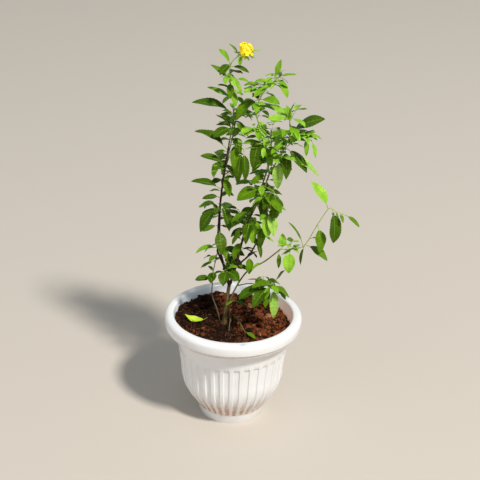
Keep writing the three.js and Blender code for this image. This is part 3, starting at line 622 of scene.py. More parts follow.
class Curve:
    """A smooth line through the points of a route, read by share of its length."""

    STEPS = 200

    def __init__(self, route):
        self.points = np.array(route, float)
        table = np.array([self.point(step / self.STEPS) for step in range(self.STEPS + 1)])
        steps = np.linalg.norm(np.diff(table, axis=0), axis=1)
        self.lengths = np.concatenate([[0], np.cumsum(steps)])
        self.length = self.lengths[-1]

    def point(self, share):
        points = self.points
        last = len(points) - 1
        index = min(int(last * share), last - 1)
        along = last * share - index
        start, end = points[index], points[index + 1]
        before = points[index - 1] if index > 0 else 2 * points[0] - points[1]
        after = points[index + 2] if index + 2 <= last else 2 * points[-1] - points[-2]
        pairs = ((before, start), (start, end), (end, after))
        first, middle, final = (math.sqrt(np.linalg.norm(b - a)) for a, b in pairs)
        leave = (start - before) / first - (end - before) / (first + middle) + (end - start) / middle
        arrive = (end - start) / middle - (after - start) / (middle + final) + (after - end) / final
        leave, arrive = leave * middle, arrive * middle
        square = 3 * (end - start) - 2 * leave - arrive
        cube = 2 * (start - end) + leave + arrive
        return start + leave * along + square * along**2 + cube * along**3

    def at(self, share):
        steps = np.linspace(0, 1, self.STEPS + 1)
        return self.point(float(np.interp(share * self.length, self.lengths, steps)))

    def line(self, spacing):
        count = max(3, round(self.length / spacing) + 1)
        return np.array([self.at(share) for share in np.linspace(0, 1, count)])


def frames_along(line):
    """Two directions across a line at each of its points, turned as little as can be."""
    tangents = np.gradient(line, axis=0)
    tangents /= np.linalg.norm(tangents, axis=1)[:, None]
    start = np.cross(tangents[0], (0, 1, 0))
    if np.linalg.norm(start) < 0.2:
        start = np.cross(tangents[0], (1, 0, 0))
    normals = [start / np.linalg.norm(start)]
    for tangent in tangents[1:]:
        normal = normals[-1] - tangent * np.dot(normals[-1], tangent)
        normals.append(normal / np.linalg.norm(normal))
    normals = np.array(normals)
    return normals, np.cross(tangents, normals)


class Sheaf:
    """The points and faces of many small shapes, gathered to become one piece."""

    def __init__(self):
        self.points = []
        self.faces = []
        self.marks = []
        self.count = 0

    def add(self, points, faces, marks=None):
        points = np.asarray(points, float)
        self.points.append(points)
        self.faces.extend((np.asarray(face) + self.count).tolist() for face in faces)
        self.marks.append(np.zeros((len(points), 3)) if marks is None else marks)
        self.count += len(points)

    def add_grid(self, grid, closed=False, marks=None):
        """Adds a grid of points, rows by columns, whose last column may meet the first."""
        rows, columns = grid.shape[:2]
        index = np.arange(rows * columns).reshape(rows, columns)
        if closed:
            index = np.concatenate([index, index[:, :1]], axis=1)
        quads = np.stack([index[:-1, :-1], index[:-1, 1:], index[1:, 1:], index[1:, :-1]], axis=-1)
        self.add(grid.reshape(-1, 3), quads.reshape(-1, 4), marks)

    def add_tube(self, line, radii, sides):
        """Adds a round stem along a line, closed at its tip."""
        normals, binormals = frames_along(line)
        angles = np.arange(sides) * 2 * math.pi / sides
        cosines, sines = np.cos(angles)[None, :, None], np.sin(angles)[None, :, None]
        across = cosines * normals[:, None] + sines * binormals[:, None]
        grid = line[:, None] + across * np.asarray(radii)[:, None, None]
        start = self.count
        self.add_grid(grid, closed=True)
        self.faces.append([start + (len(line) - 1) * sides + side for side in range(sides)])

    def mesh(self, name):
        mesh = bpy.data.meshes.new(name)
        points = np.concatenate(self.points) * MM
        mesh.from_pydata(points.tolist(), [], self.faces)
        place = mesh.attributes.new("leaf_place", "FLOAT_VECTOR", "POINT")
        place.data.foreach_set("vector", np.concatenate(self.marks).astype(np.float32).ravel())
        return mesh


def add_piece(name, mesh, material, nodes=(), crease=60):
    """Makes a piece of a mesh, which rides with the pot and stands for the given nodes."""
    if isinstance(mesh, bmesh.types.BMesh):
        source = mesh
        mesh = bpy.data.meshes.new(name)
        source.to_mesh(mesh)
        source.free()
    mesh.polygons.foreach_set("use_smooth", [True] * len(mesh.polygons))
    mesh.set_sharp_from_angle(angle=math.radians(crease))
    mesh.materials.append(material)
    piece = bpy.data.objects.new(name, mesh)
    bpy.context.scene.collection.objects.link(piece)
    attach(piece, "root")
    if nodes:
        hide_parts(*nodes)
    return piece


class Finish:
    """A procedural material on the object's own coordinates, laid on in coats."""

    def __init__(self, name, colour, roughness, gloss=0.5, coat=0.0):
        self.material = bpy.data.materials.new(name)
        self.material.use_nodes = True
        self.nodes = self.material.node_tree.nodes
        self.links = self.material.node_tree.links
        self.shader = self.nodes["Principled BSDF"]
        self.shader.inputs["Base Color"].default_value = (*colour[:3], 1)
        self.shader.inputs["Roughness"].default_value = roughness
        self.shader.inputs["Specular IOR Level"].default_value = gloss
        self.shader.inputs["Coat Weight"].default_value = coat
        self.place = self.nodes.new("ShaderNodeTexCoord").outputs["Object"]

    def noise(self, size, detail=4, stretch=(1, 1, 1), roughness=0.55):
        """Cloudy values whose spots are about size millimetres wide, stretched along an axis."""
        mapping = self.nodes.new("ShaderNodeMapping")
        mapping.inputs["Scale"].default_value = [1 / share for share in stretch]
        self.links.new(self.place, mapping.inputs["Vector"])
        noise_node = self.nodes.new("ShaderNodeTexNoise")
        noise_node.inputs["Scale"].default_value = 1 / (size * MM)
        noise_node.inputs["Detail"].default_value = detail
        noise_node.inputs["Roughness"].default_value = roughness
        self.links.new(mapping.outputs["Vector"], noise_node.inputs["Vector"])
        return noise_node.outputs["Fac"]

    def attribute(self, name, output="Fac"):
        node = self.nodes.new("ShaderNodeAttribute")
        node.attribute_name = name
        return node.outputs[output]

    def band(self, value, low, high):
        """Values stretched so that low gives 0 and high gives 1."""
        node = self.nodes.new("ShaderNodeMapRange")
        node.inputs["From Min"].default_value = low
        node.inputs["From Max"].default_value = high
        self.links.new(value, node.inputs["Value"])
        return node.outputs["Result"]

    def patches(self, size, detail, low, high, share=None, stretch=(1, 1, 1)):
        """A mask of cloudy spots, which stay at a share where one is given."""
        spots = self.band(self.noise(size, detail, stretch), low, high)
        return spots if share is None else self.maths("MULTIPLY", spots, share)

    def maths(self, operation, *values):
        node = self.nodes.new("ShaderNodeMath")
        node.operation = operation
        for socket, value in zip(node.inputs, values):
            if isinstance(value, (int, float)):
                socket.default_value = value
            else:
                self.links.new(value, socket)
        return node.outputs["Value"]

    def tint(self, colour, mask, socket="Base Color"):
        """Lays another colour over what is there, as far as the mask says."""
        node = self.nodes.new("ShaderNodeMix")
        node.data_type = "RGBA"
        factor, below, above = node.inputs[0], node.inputs[6], node.inputs[7]
        socket = self.shader.inputs[socket]
        if socket.is_linked:
            self.links.new(socket.links[0].from_socket, below)
        else:
            below.default_value = socket.default_value
        above.default_value = (*colour[:3], 1)
        self.links.new(mask, factor)
        self.links.new(node.outputs[2], socket)
        return self

    def relief(self, height, depth, strength=1.0):
        """Raises the surface by up to depth millimetres where the height says."""
        node = self.nodes.new("ShaderNodeBump")
        node.inputs["Distance"].default_value = depth * MM
        node.inputs["Strength"].default_value = strength
        self.links.new(height, node.inputs["Height"])
        socket = self.shader.inputs["Normal"]
        if socket.is_linked:
            self.links.new(socket.links[0].from_socket, node.inputs["Normal"])
        self.links.new(node.outputs["Normal"], socket)
        return self


def shaded(colour, share):
    """A colour darkened to a share of its light."""
    return [channel * share for channel in colour]


def colour_property(name, description, default):
    return bpy.props.FloatVectorProperty(
        name=name, description=description, default=default, size=3, min=0, max=1, subtype="COLOR"
    )


class LantanaPotSettings(bpy.types.PropertyGroup):
    """Sizes and colours of the pot."""

    flute_depth: bpy.props.FloatProperty(
        name="Flute depth", description="Depth of the hollows down the pot's side",
        default=0.0022, min=0, max=0.003, precision=4, unit="LENGTH",
    )
    plastic: colour_property("Plastic", "Colour of the pot's plastic", (0.86, 0.86, 0.86))
    # The dust's colour also paints a reflection of warm ground in the flutes' feet and under the
    # rim.
    dust: colour_property("Dust", "Colour of the dust in the foot of the hollows", (0.5, 0.27, 0.16))


class LantanaSoilSettings(bpy.types.PropertyGroup):
    """Roughness and colours of the soil."""

    crumb_height: bpy.props.FloatProperty(
        name="Crumb height", description="How far crumbs stand out of the soil's top",
        default=0.004, min=0, max=0.006, precision=4, unit="LENGTH",
    )
    clods: bpy.props.IntProperty(
        name="Clods", description="Number of clods on the soil", default=300, min=0
    )
    chips: bpy.props.IntProperty(
        name="Chips", description="Number of husk chips on the soil", default=1700, min=0
    )
    fibres: bpy.props.IntProperty(
        name="Fibres", description="Number of husk fibres on the soil", default=160, min=0
    )
    # The damp soil's near-black also stands for painted shade: in creases and in the foliage's
    # shadow.
    damp: colour_property("Damp soil", "Colour of the soil in its gaps", (0.012, 0.006, 0.003))
    husk: colour_property("Husk", "Colour of most husk chips", (0.2, 0.053, 0.016))
    dry: colour_property("Dry husk", "Colour of the driest chips", (0.34, 0.15, 0.08))


class LantanaPlantSettings(bpy.types.PropertyGroup):
    """Colours of the bark, leaves, blossom and fruit."""

    trunk: colour_property("Trunk", "Colour of the trunk's bark", (0.1, 0.062, 0.022))
    old: colour_property("Old bark", "Colour of the older stems", (0.034, 0.014, 0.012))
    olive: colour_property("Olive bark", "Colour of stems in between", (0.15, 0.15, 0.04))
    green: colour_property("Green bark", "Colour of green stems", (0.22, 0.38, 0.045))
    pale: colour_property("Pale bark", "Colour of the youngest stems", (0.4, 0.5, 0.1))
    dead: colour_property("Dead bark", "Colour of the dead twig", (0.14, 0.115, 0.065))
    # Leaf colours, dealt out partly as painted light and shade: deeper in shade, paler in the sun.
    deep: colour_property("Deep leaves", "Colour of the darkest leaves", (0.044, 0.104, 0.001))
    middle: colour_property("Middle leaves", "Colour of most leaves", (0.092, 0.206, 0.002))
    fresh: colour_property("Fresh leaves", "Colour of fresher leaves", (0.175, 0.385, 0.012))
    young: colour_property("Young leaves", "Colour of the youngest leaves", (0.26, 0.52, 0.035))
    light: colour_property("Pale leaves", "Colour of the palest leaves", (0.32, 0.55, 0.09))
    petal: colour_property("Petals", "Colour of the florets", (0.95, 0.73, 0.01))
    throat: colour_property("Floret tubes", "Colour of the tubes below the petals", (0.6, 0.3, 0.0))
    berry: colour_property("Fruit", "Colour of the unripe fruit", (0.3, 0.56, 0.05))
    bud: colour_property("Buds", "Colour of the closed buds", (0.14, 0.2, 0.02))
    fallen: colour_property("Fallen leaf", "Colour of the leaf on the soil", (0.5, 0.66, 0.02))


class LantanaStageSettings(bpy.types.PropertyGroup):
    """The floor, the lights and the camera."""

    floor: colour_property("Floor", "Colour of the plain floor", (0.6, 0.545, 0.475))
    lens: bpy.props.FloatProperty(
        name="Lens", description="Focal length of the camera", default=CAMERA_LENS, min=20,
        unit="CAMERA",
    )
    key_power: bpy.props.FloatProperty(
        name="Key light", description="Power of the main light", default=1060, min=0, unit="POWER"
    )
    sky: bpy.props.FloatProperty(
        name="Sky", description="Strength of the even light all round", default=0.4, min=0
    )


def bezier(points, share):
    """A point on a Bezier curve of two or three pulls."""
    points = [np.array(point, float) for point in points]
    while len(points) > 1:
        points = [lerp(a, b, share) for a, b in zip(points, points[1:])]
    return points[0]


def body_curve():
    """The pot's outside below the rim: a bell curve, then an easy flare."""
    foot, belly = np.array(FOOT_TOP), np.array(BELLY)
    bell = [foot, foot + FOOT_PULL, belly + BELLY_PULL, belly]
    flare = [belly, belly + NECK_PULL, (NECK_RADIUS, NECK_HEIGHT)]
    below = [bezier(bell, share) for share in np.linspace(0, 1, 60)]
    above = [bezier(flare, share) for share in np.linspace(0, 1, 40)[1:]]
    return np.array(below + above)


BODY_CURVE = body_curve()


def body_radius(height):
    return float(np.interp(height, BODY_CURVE[:, 1], BODY_CURVE[:, 0]))


def arc(centre, radius, start, end, steps):
    angles = np.radians(np.linspace(start, end, steps + 1))
    return [(centre[0] + radius * math.cos(a), centre[1] + radius * math.sin(a)) for a in angles]


def rounded(corners, radius):
    """A run of corners, each turned into a small round of three points."""
    points = []
    for before, corner, after in zip(corners, corners[1:], corners[2:]):
        corner = np.array(corner, float)
        ways = [np.array(near, float) - corner for near in (before, after)]
        first, last = (corner + way * min(radius / np.linalg.norm(way), 0.45) for way in ways)
        points += [tuple(first), tuple(corner * 0.5 + (first + last) * 0.25), tuple(last)]
    return points


def spun(profile, steps):
    """Spins a profile of radius and height once round the pot's axis, from the front."""
    mesh = bmesh.new()
    verts = [mesh.verts.new((0, -radius * MM, height * MM)) for radius, height in profile]
    edges = [mesh.edges.new(pair) for pair in zip(verts, verts[1:])]
    bmesh.ops.spin(
        mesh, geom=verts + edges, cent=(0, 0, 0), axis=(0, 0, 1), angle=2 * math.pi, steps=steps,
        use_merge=True, use_duplicate=False,
    )
    bmesh.ops.remove_doubles(mesh, verts=mesh.verts, dist=1e-6)
    bmesh.ops.recalc_face_normals(mesh, faces=mesh.faces)
    return mesh


def pot_profile():
    """The pot's section as radius and height, from under its foot over the rim to its floor."""
    band_foot = POT_HEIGHT - RIM_DEPTH
    step = RIM_RADIUS - STEP_INSET
    step_inside = step - STEP_WALL
    flute_rows = [*(FLUTE_FOOT + END_ROWS), *MIDDLE_ROWS, *(FLUTE_TOP - END_ROWS[::-1])]
    rows = [ROW_BELOW_FLUTES, *flute_rows, *ROWS_ABOVE_FLUTES, NECK_HEIGHT]
    foot = rounded([(0, 0), (FOOT_RADIUS, 0), FOOT_TOP], EDGE)
    outside = [(body_radius(height), height) for height in rows]
    corners = [
        (NECK_RADIUS, CHANNEL_TOP - 1), (step_inside, CHANNEL_TOP), (step_inside, NECK_HEIGHT),
        (step, NECK_HEIGHT), (step, band_foot), (RIM_RADIUS - RIM_DRAFT, band_foot),
        (RIM_RADIUS, POT_HEIGHT - RIM_ROLL),
    ]
    ring = [(NECK_RADIUS, CHANNEL_TOP), *rounded(corners, EDGE)]
    roll = arc((RIM_RADIUS - RIM_ROLL, POT_HEIGHT - RIM_ROLL), RIM_ROLL, 0, 90, 10)
    mouth = arc((MOUTH_RADIUS + MOUTH_EDGE, POT_HEIGHT - MOUTH_EDGE), MOUTH_EDGE, 90, 180, 5)
    inside = [(body_radius(height) - WALL, height) for height in INSIDE_HEIGHTS]
    floor = [(FOOT_RADIUS - WALL, FLOOR), (0, FLOOR)]
    return [(0, 0), *foot, *outside, *ring, *roll, *mouth, *inside, *floor]


def smooth(share):
    share = min(1, max(0, share))
    return share * share * (3 - 2 * share)


def inside_outline(reach, aside, height):
    """How far a point lies inside a flute's outline, an upright oblong with round corners."""
    end = min(FLUTE_TOP - height, height - FLUTE_FOOT)
    edge = reach - aside
    if end < FLUTE_CORNER and edge < FLUTE_CORNER:
        return FLUTE_CORNER - math.hypot(FLUTE_CORNER - end, FLUTE_CORNER - edge)
    return min(end, edge)


def fluted(mesh, depth):
    """Deals the columns out over lands and hollows, and sinks the hollows into the side."""
    pitch = 360 / FLUTES
    columns = len(HOLLOW_COLUMNS)
    half = pitch / 2 - LAND_HALF_ANGLE
    dust = mesh.verts.layers.float.new("dust")
    glow = mesh.verts.layers.float.new("glow")
    smudge = mesh.verts.layers.float.new("smudge")
    for vert in mesh.verts:
        radius = math.hypot(vert.co.x, vert.co.y) / MM
        height = vert.co.z / MM
        if radius < 1:
            continue
        turn = round((math.degrees(math.atan2(vert.co.x, -vert.co.y)) % 360) * columns / pitch)
        flute, column = divmod(turn, columns)
        share = HOLLOW_COLUMNS[column]
        angle = math.radians(flute * pitch + LAND_HALF_ANGLE + 2 * half * share)
        is_outside = radius > body_radius(height) - SLACK and FLUTE_FOOT < height < FLUTE_TOP
        if is_outside:
            reach = math.radians(half) * radius
            aside = abs(2 * share - 1) * reach
            inside = inside_outline(reach, aside, height)
            sunk = smooth(inside / FLUTE_SLOPE)
            middle = 1 - (aside / reach) ** 2
            above = height - FLUTE_FOOT
            fading = 1 - smooth((above - DUST_AND_REFLECTION_FULL_HEIGHT) / lerp(*DUST_AND_REFLECTION_FADING_HEIGHTS, middle))
            side = lerp(DUST_AND_REFLECTION_ALL_ROUND, 1, math.cos(angle + math.radians(DUST_AND_REFLECTION_SIDE)))
            # Dust and a painted reflection of warm ground, most in the hollows' feet and on one
            # side.
            vert[dust] = lerp(DUST_AND_REFLECTION_ON_LANDS, 1, sunk) * fading * side
            run_out = lerp(RUN_OUT_DEPTH, 1, smooth(above / FLUTE_RUN_OUT))
            radius -= sunk * run_out * (1 + BOTTOM_HOLLOW * middle) * depth / MM
        # The step under the rim: a painted reflection of warm ground, not dust.
        elif STEP_REFLECTION_HEIGHTS[0] < height < STEP_REFLECTION_HEIGHTS[1] and radius > MOUTH_RADIUS:
            vert[dust] = STEP_PAINTED_REFLECTION
        # The mouth's inside: a painted glow, stronger on the sunny side.
        elif radius < MOUTH_RADIUS + SLACK and height > NECK_HEIGHT - SLACK:
            vert[glow] = max(SHADE_GLOW, math.sin(angle)) * smooth((GLOW_TOP - height) / GLOW_FADE)
        elif height > POT_HEIGHT - RIM_ROLL:
            aside = (math.degrees(angle) - SMUDGE_TURN) / SMUDGE_HALF_TURN
            outward = (radius - SMUDGE_RADIUS) / SMUDGE_HALF_WIDTH
            vert[smudge] = math.exp(-(aside**2) - outward**2)
        vert.co.x = radius * math.sin(angle) * MM
        vert.co.y = -radius * math.cos(angle) * MM


def plastic_finish(settings):
    """White plastic, with the painted glow of its mouth, faint grime, the smudge, and the dust in
    the flutes' feet mixed with a painted reflection of warm ground.
    """
    finish = Finish("white_plastic", settings.plastic, 0.27, gloss=0.5, coat=0.25)
    inputs = finish.shader.inputs
    inputs["Coat Roughness"].default_value = 0.15
    # The painted glow of the mouth's inside, an emission from cool to warm.
    glow = finish.attribute("glow")
    inputs["Emission Color"].default_value = (*WARM_GLOW, 1)
    finish.tint(COOL_GLOW, finish.band(glow, 0.8, 0.4), "Emission Color")
    finish.links.new(finish.maths("MULTIPLY", glow, GLOW_STRENGTH), inputs["Emission Strength"])
    finish.tint(GRIME_COLOUR, finish.patches(34, 6, 0.5, 0.78, GRIME_SHARE))
    finish.tint(SMUDGE_COLOUR, finish.attribute("smudge"))
    # The dust's colour in cloudy patches: dust together with a painted reflection of warm ground.
    clouds = finish.patches(6, 5, 0.2, 0.55)
    finish.tint(settings.dust, finish.maths("MULTIPLY", finish.attribute("dust"), clouds))
    finish.relief(finish.noise(3.5, 3), 0.12, 0.12)
    return finish.material


class LANTANA_OT_pot(bpy.types.Operator):
    """Spin the pot and sink its flutes"""

    bl_idname = "lantana.pot"
    bl_label = "Pot"

    def execute(self, context):
        settings = context.scene.lantana_pot
        mesh = spun(pot_profile(), FLUTES * len(HOLLOW_COLUMNS))
        fluted(mesh, settings.flute_depth)
        add_piece("pot_shell", mesh, plastic_finish(settings), ["pot"], crease=38)
        return {"FINISHED"}


def soil_height(x, y):
    lumps = LUMP_HEIGHT * math.sin(x / LUMP_LENGTH[0] + 1.3) * math.cos(y / LUMP_LENGTH[1])
    small_lumps = SMALL_LUMP_HEIGHT * math.sin((x - y) / SMALL_LUMP_LENGTH)
    return SOIL_LEVEL + SOIL_SLOPE * x + SOIL_RISE_TO_BACK * y + lumps + small_lumps


def unevenness(x, y, size, layer):
    """A smooth unevenness of a place, from -1 to 1, whose swells have a size in millimetres."""
    return noise.noise(Vector((x / size, y / size, layer)))


def crumble(x, y):
    """The soil's roughness at a place, from about -1 to 1: round clods with creases, and grains."""
    swells = unevenness(x, y, 15, 3.1)
    clods = abs(unevenness(x, y, 7, 7.7))
    crumbs = abs(unevenness(x, y, 3.1, 4.2))
    grains = unevenness(x, y, 1.4, 1.3)
    return 0.5 * swells + 2.2 * clods + 1.1 * crumbs + 0.3 * grains - 1


def mouth_radius(height):
    """The inside of the pot's mouth at a height above the neck."""
    share = (height - NECK_HEIGHT) / (POT_HEIGHT - MOUTH_EDGE - NECK_HEIGHT)
    return lerp(NECK_RADIUS - WALL, MOUTH_RADIUS, share)


def soil_bed(crumb_height):
    """The soil's body, with crumbs on its top: their crests take the husk's colour and their creases
    keep the near-black of painted shade, as do the crests where the soil is painted wet and shaded.
    """
    inset = WALL + SOIL_CLEARANCE
    wall = [(body_radius(height) - inset, height) for height in SOIL_SIDE_HEIGHTS]
    edge = mouth_radius(SOIL_LEVEL) - 0.3
    top = [(edge * (1 - ring / SOIL_RINGS), SOIL_LEVEL) for ring in range(SOIL_RINGS + 1)]
    floor = FLOOR + SOIL_CLEARANCE
    mesh = spun([(0, floor), (FOOT_RADIUS - inset, floor), *wall, *top], SOIL_STEPS)
    crest = mesh.verts.layers.float.new("crest")
    for vert in mesh.verts:
        if vert.co.z / MM > SOIL_LEVEL - 0.1:
            x, y = vert.co.x / MM, vert.co.y / MM
            rough = crumble(x, y)
            # Crests take the husk's colour; creases, and crests in the painted shadow, stay dark as
            # painted shade.
            vert[crest] = smooth((rough + 0.45) / 0.8) * (1 - 0.9 * dampness_and_shade(x, y))
            vert.co.z = soil_height(x, y) * MM + rough * crumb_height
            spread = min(1, mouth_radius(vert.co.z / MM) / edge)
            vert.co.x *= spread
            vert.co.y *= spread
    return mesh


def turned(points, stray, lean):
    """Points turned about Z by any angle, and leant over by up to lean degrees."""
    spin = Matrix.Rotation(math.radians(stray(180)), 3, "Z")
    over, aside = (Matrix.Rotation(math.radians(stray(lean)), 3, axis) for axis in "XY")
    return np.asarray(points) @ np.array(spin @ (over @ aside)).T


def ball(subdivisions):
    """The points and faces of a ball of radius 1."""
    mesh = bmesh.new()
    bmesh.ops.create_icosphere(mesh, subdivisions=subdivisions, radius=1)
    points = np.array([vert.co[:] for vert in mesh.verts])
    faces = [[vert.index for vert in face.verts] for face in mesh.faces]
    mesh.free()
    return points, faces


def place_on_soil(stray):
    """A place anywhere on the soil's top, away from the fallen leaf."""
    (leaf_x, leaf_y), (half_x, half_y) = LEAF_OVAL
    while True:
        x, y = stray(STREWN_RADIUS + 1), stray(STREWN_RADIUS + 1)
        under_leaf = math.hypot((x - leaf_x) / half_x, (y - leaf_y) / half_y) < 1
        if math.hypot(x, y) < STREWN_RADIUS and not under_leaf:
            return x, y


def any_way(stray, play):
    """A vector whose three parts each stray by up to a play."""
    return np.array([stray(play), stray(play), stray(play)])


def clod(points, size, stray):
    """A lump of soil: a ball pressed a little flat and made uneven."""
    shape = size * np.array([1 + abs(stray(0.35)), 0.8 + abs(stray(0.3)), 0.7])
    lumpy = np.ones(len(points))
    for count, swell in CLOD_SWELLS:
        lumpy += swell * np.sin(points @ any_way(stray, count) + stray(3))
    return points * shape * lumpy[:, None]


def chip(points, size, stray):
    """A flat, uneven chip of husk."""
    shape = size * np.array([1 + abs(stray(1.5)), 0.5 + abs(stray(0.5)), 0.35])
    lumpy = 1 + 0.22 * np.sin(points @ any_way(stray, 5))
    return points * shape * lumpy[:, None]


def fibre(stray):
    """The line of a bent fibre that lies on the soil, or nothing where too little of it does."""
    x, y = place_on_soil(stray)
    heading, bend, length = stray(math.pi), stray(1.4), 7 + abs(stray(14))
    steps = np.linspace(-0.5, 0.5, 7)
    turns = heading + bend * steps
    line = np.stack([np.cos(turns), np.sin(turns)], axis=1) * length * steps[:, None] + (x, y)
    line = line[np.hypot(line[:, 0], line[:, 1]) < FIBRE_REACH]
    if len(line) < 4:
        return None
    rises = [soil_height(*place) + 1.2 + 0.5 * stray(1) for place in line]
    return np.column_stack([line, rises])


def dampness_and_shade(x, y):
    """How wet and shaded the soil is painted at a place: wet soil together with the painted shadow
    of the foliage, most at the left and just before the stems.
    """
    left = smooth((10 - x) / 70) * (0.5 + 0.5 * smooth((y + 70) / 60))
    before_stems = math.exp(-(((x + 2) / 30) ** 2) - ((y + 44) / 42) ** 2)
    patches = unevenness(x, y, 20, 9.3)
    return min(1, max(0, 1.1 * left + 1.2 * before_stems + 0.6 * patches - 0.1))


def soil_finish(name, colour, other, spots=None):
    """Earth or husk with another colour on its crests, or in spots where their size is given."""
    finish = Finish(name, colour, 0.95, gloss=0.1)
    mask = finish.patches(spots, 3, 0.45, 0.7, 0.55) if spots else finish.attribute("crest")
    finish.tint(other, mask)
    finish.relief(finish.noise(1.6, 5), 0.8, 0.9)
    return finish.material


class LANTANA_OT_soil(bpy.types.Operator):
    """Heap the soil and strew it with chips and fibres of husk"""

    bl_idname = "lantana.soil"
    bl_label = "Soil"

    def execute(self, context):
        settings = context.scene.lantana_soil
        bed = soil_bed(settings.crumb_height)
        damp, husk, dry = settings.damp, settings.husk, settings.dry
        # The soil's top: the damp and painted-shade near-black, with the husk's colour on its
        # crests.
        add_piece("soil_bed", bed, soil_finish("soil_top", damp, husk), ["soil"], crease=180)
        stray = strays(SOIL_SEED)
        sheaves = {kind: Sheaf() for kind in SOIL_KINDS}

        def strew(lump, faces, x, y, sunk):
            """Lays a lump on the soil, with the kind that suits the place."""
            # Chips in the damp and painted-shaded places are mostly of the darkest kind.
            pick = abs(stray(1)) + 0.85 * dampness_and_shade(x, y)
            height = soil_height(x, y) + crumble(x, y) * settings.crumb_height / MM
            lump = turned(lump, stray, CHIP_LEAN) + (x, y, height - sunk)
            kind = next(kind for kind, share in SOIL_KINDS.items() if pick <= share)
            sheaves[kind].add(lump, faces)

        rough_ball, faces = ball(2)
        laid = 0
        while laid < settings.clods:
            x, y = place_on_soil(stray)
            size = 1.8 + abs(stray(2.2)) + abs(stray(2.2))
            is_clear = min(math.hypot(x - a, y - b) for a, b in STEM_FEET) > CLEAR_OF_FEET
            is_cloddy = abs(stray(1)) < 0.5 + 0.3 * smooth(-x / 60) + 0.2 * smooth(y / 70)
            if is_clear and is_cloddy and math.hypot(x, y) + size < STREWN_RADIUS:
                strew(clod(rough_ball, size, stray), faces, x, y, 0.2 * size)
                laid += 1
        pebble, faces = ball(1)
        for _ in range(settings.chips):
            x, y = place_on_soil(stray)
            size = 0.8 + 2.8 * abs(stray(1)) * abs(stray(1))
            strew(chip(pebble, size, stray), faces, x, y, -0.1)
        finishes = {
            "husk": soil_finish("husk_chips", husk, damp, spots=9),
            "dry": soil_finish("dry_chips", dry, husk, spots=6),
            "damp": soil_finish("damp_chips", damp, shaded(husk, 0.35), spots=6),
        }
        for kind, sheaf in sheaves.items():
            add_piece(f"soil_chips_{kind}", sheaf.mesh(kind), finishes[kind], crease=30)
        strands = Sheaf()
        for _ in range(settings.fibres):
            line = fibre(stray)
            if line is not None:
                strands.add_tube(line, [FIBRE_RADIUS] * len(line), 3)
        add_piece("soil_fibres", strands.mesh("fibres"), finishes["dry"])
        return {"FINISHED"}


def bark_finish(name, colour, streak):
    """Bark with lighter streaks along the stems, darker spots and a fine grain."""
    finish = Finish(f"bark_{name}", colour, 0.75, gloss=0.15)
    finish.tint(streak, finish.patches(2.2, 4, 0.45, 0.7, 0.55, stretch=(1, 1, 9)))
    finish.tint(shaded(colour, 0.45), finish.patches(6, 3, 0.58, 0.75))
    finish.relief(finish.noise(1.1, 4, (1, 1, 5)), 0.35, 0.6)
    return finish.material


def bark_finishes(settings):
    colours = {name: getattr(settings, name) for name in BARK_STREAKS}
    return {name: bark_finish(name, colours[name], BARK_STREAKS[name]) for name in colours}


def drawn(sides, rings, place):
    """A closed round bar whose points are moved to place(share, angle)."""
    mesh = bmesh.new()
    bmesh.ops.create_cone(mesh, cap_ends=True, segments=sides, radius1=1, radius2=1, depth=1)
    upright = [edge for edge in mesh.edges if abs(edge.verts[0].co.z - edge.verts[1].co.z) > 0.5]
    bmesh.ops.subdivide_edges(mesh, edges=upright, cuts=rings - 1, use_grid_fill=True)
    for vert in mesh.verts:
        vert.co = place(vert.co.z + 0.5, math.atan2(vert.co.y, vert.co.x))
    bmesh.ops.recalc_face_normals(mesh, faces=mesh.faces)
    return mesh


def limb(name, shape):
    """A tapering limb with the relief of its bark: ridges, fine grain and knots."""
    curve = Curve(shape["route"])
    is_thick = max(shape["radius"]) > THICK_RADIUS
    sides, spacing = THICK_SIDES_SPACING if is_thick else THIN_SIDES_SPACING
    rings = round(curve.length / spacing)
    line = np.array([curve.at(share) for share in np.linspace(0, 1, rings + 1)])
    normals, binormals = frames_along(line)
    flare = shape.get("flare", 0)
    seed = len(name)

    def place(share, angle):
        ring = round(share * rings)
        along = share * curve.length
        flared = flare * math.exp(-along / FLARE_HEIGHT)
        lobed = 1 + LOBE_DEPTH * math.cos(LOBES * angle) * math.exp(-along / LOBE_HEIGHT)
        plain = (lerp(*shape["radius"], share) + flared) * lobed
        cosine, sine = math.cos(angle), math.sin(angle)
        ridges = noise.noise(Vector((2.4 * cosine, 2.4 * sine, along / 9 + seed)))
        grains = noise.noise(Vector((5 * cosine, 5 * sine, along / 2.5 + seed)))
        from_knot = (along + 7 * seed) % KNOT_SPACING - KNOT_SPACING / 2
        knots = math.exp(-((from_knot / 1.5) ** 2))
        relief = RIDGE_RELIEF * ridges + GRAIN_RELIEF * grains + KNOT_RELIEF * knots
        radius = plain * (0.97 + relief)
        across = cosine * normals[ring] + sine * binormals[ring]
        point = line[ring] + across * radius
        if shape.get("seat") and ring == 0:
            point[2] = shape["route"][0][2]
        return point * MM

    return drawn(sides, rings, place)


class LANTANA_OT_limbs(bpy.types.Operator):
    """Draw the trunk and the boughs with the relief of their bark"""

    bl_idname = "lantana.limbs"
    bl_label = "Trunk and boughs"

    def execute(self, context):
        finishes = bark_finishes(context.scene.lantana_plant)
        for name, shape in LIMBS.items():
            add_piece(f"bark_of_{name}", limb(name, shape), finishes[shape["bark"]], [name])
        return {"FINISHED"}


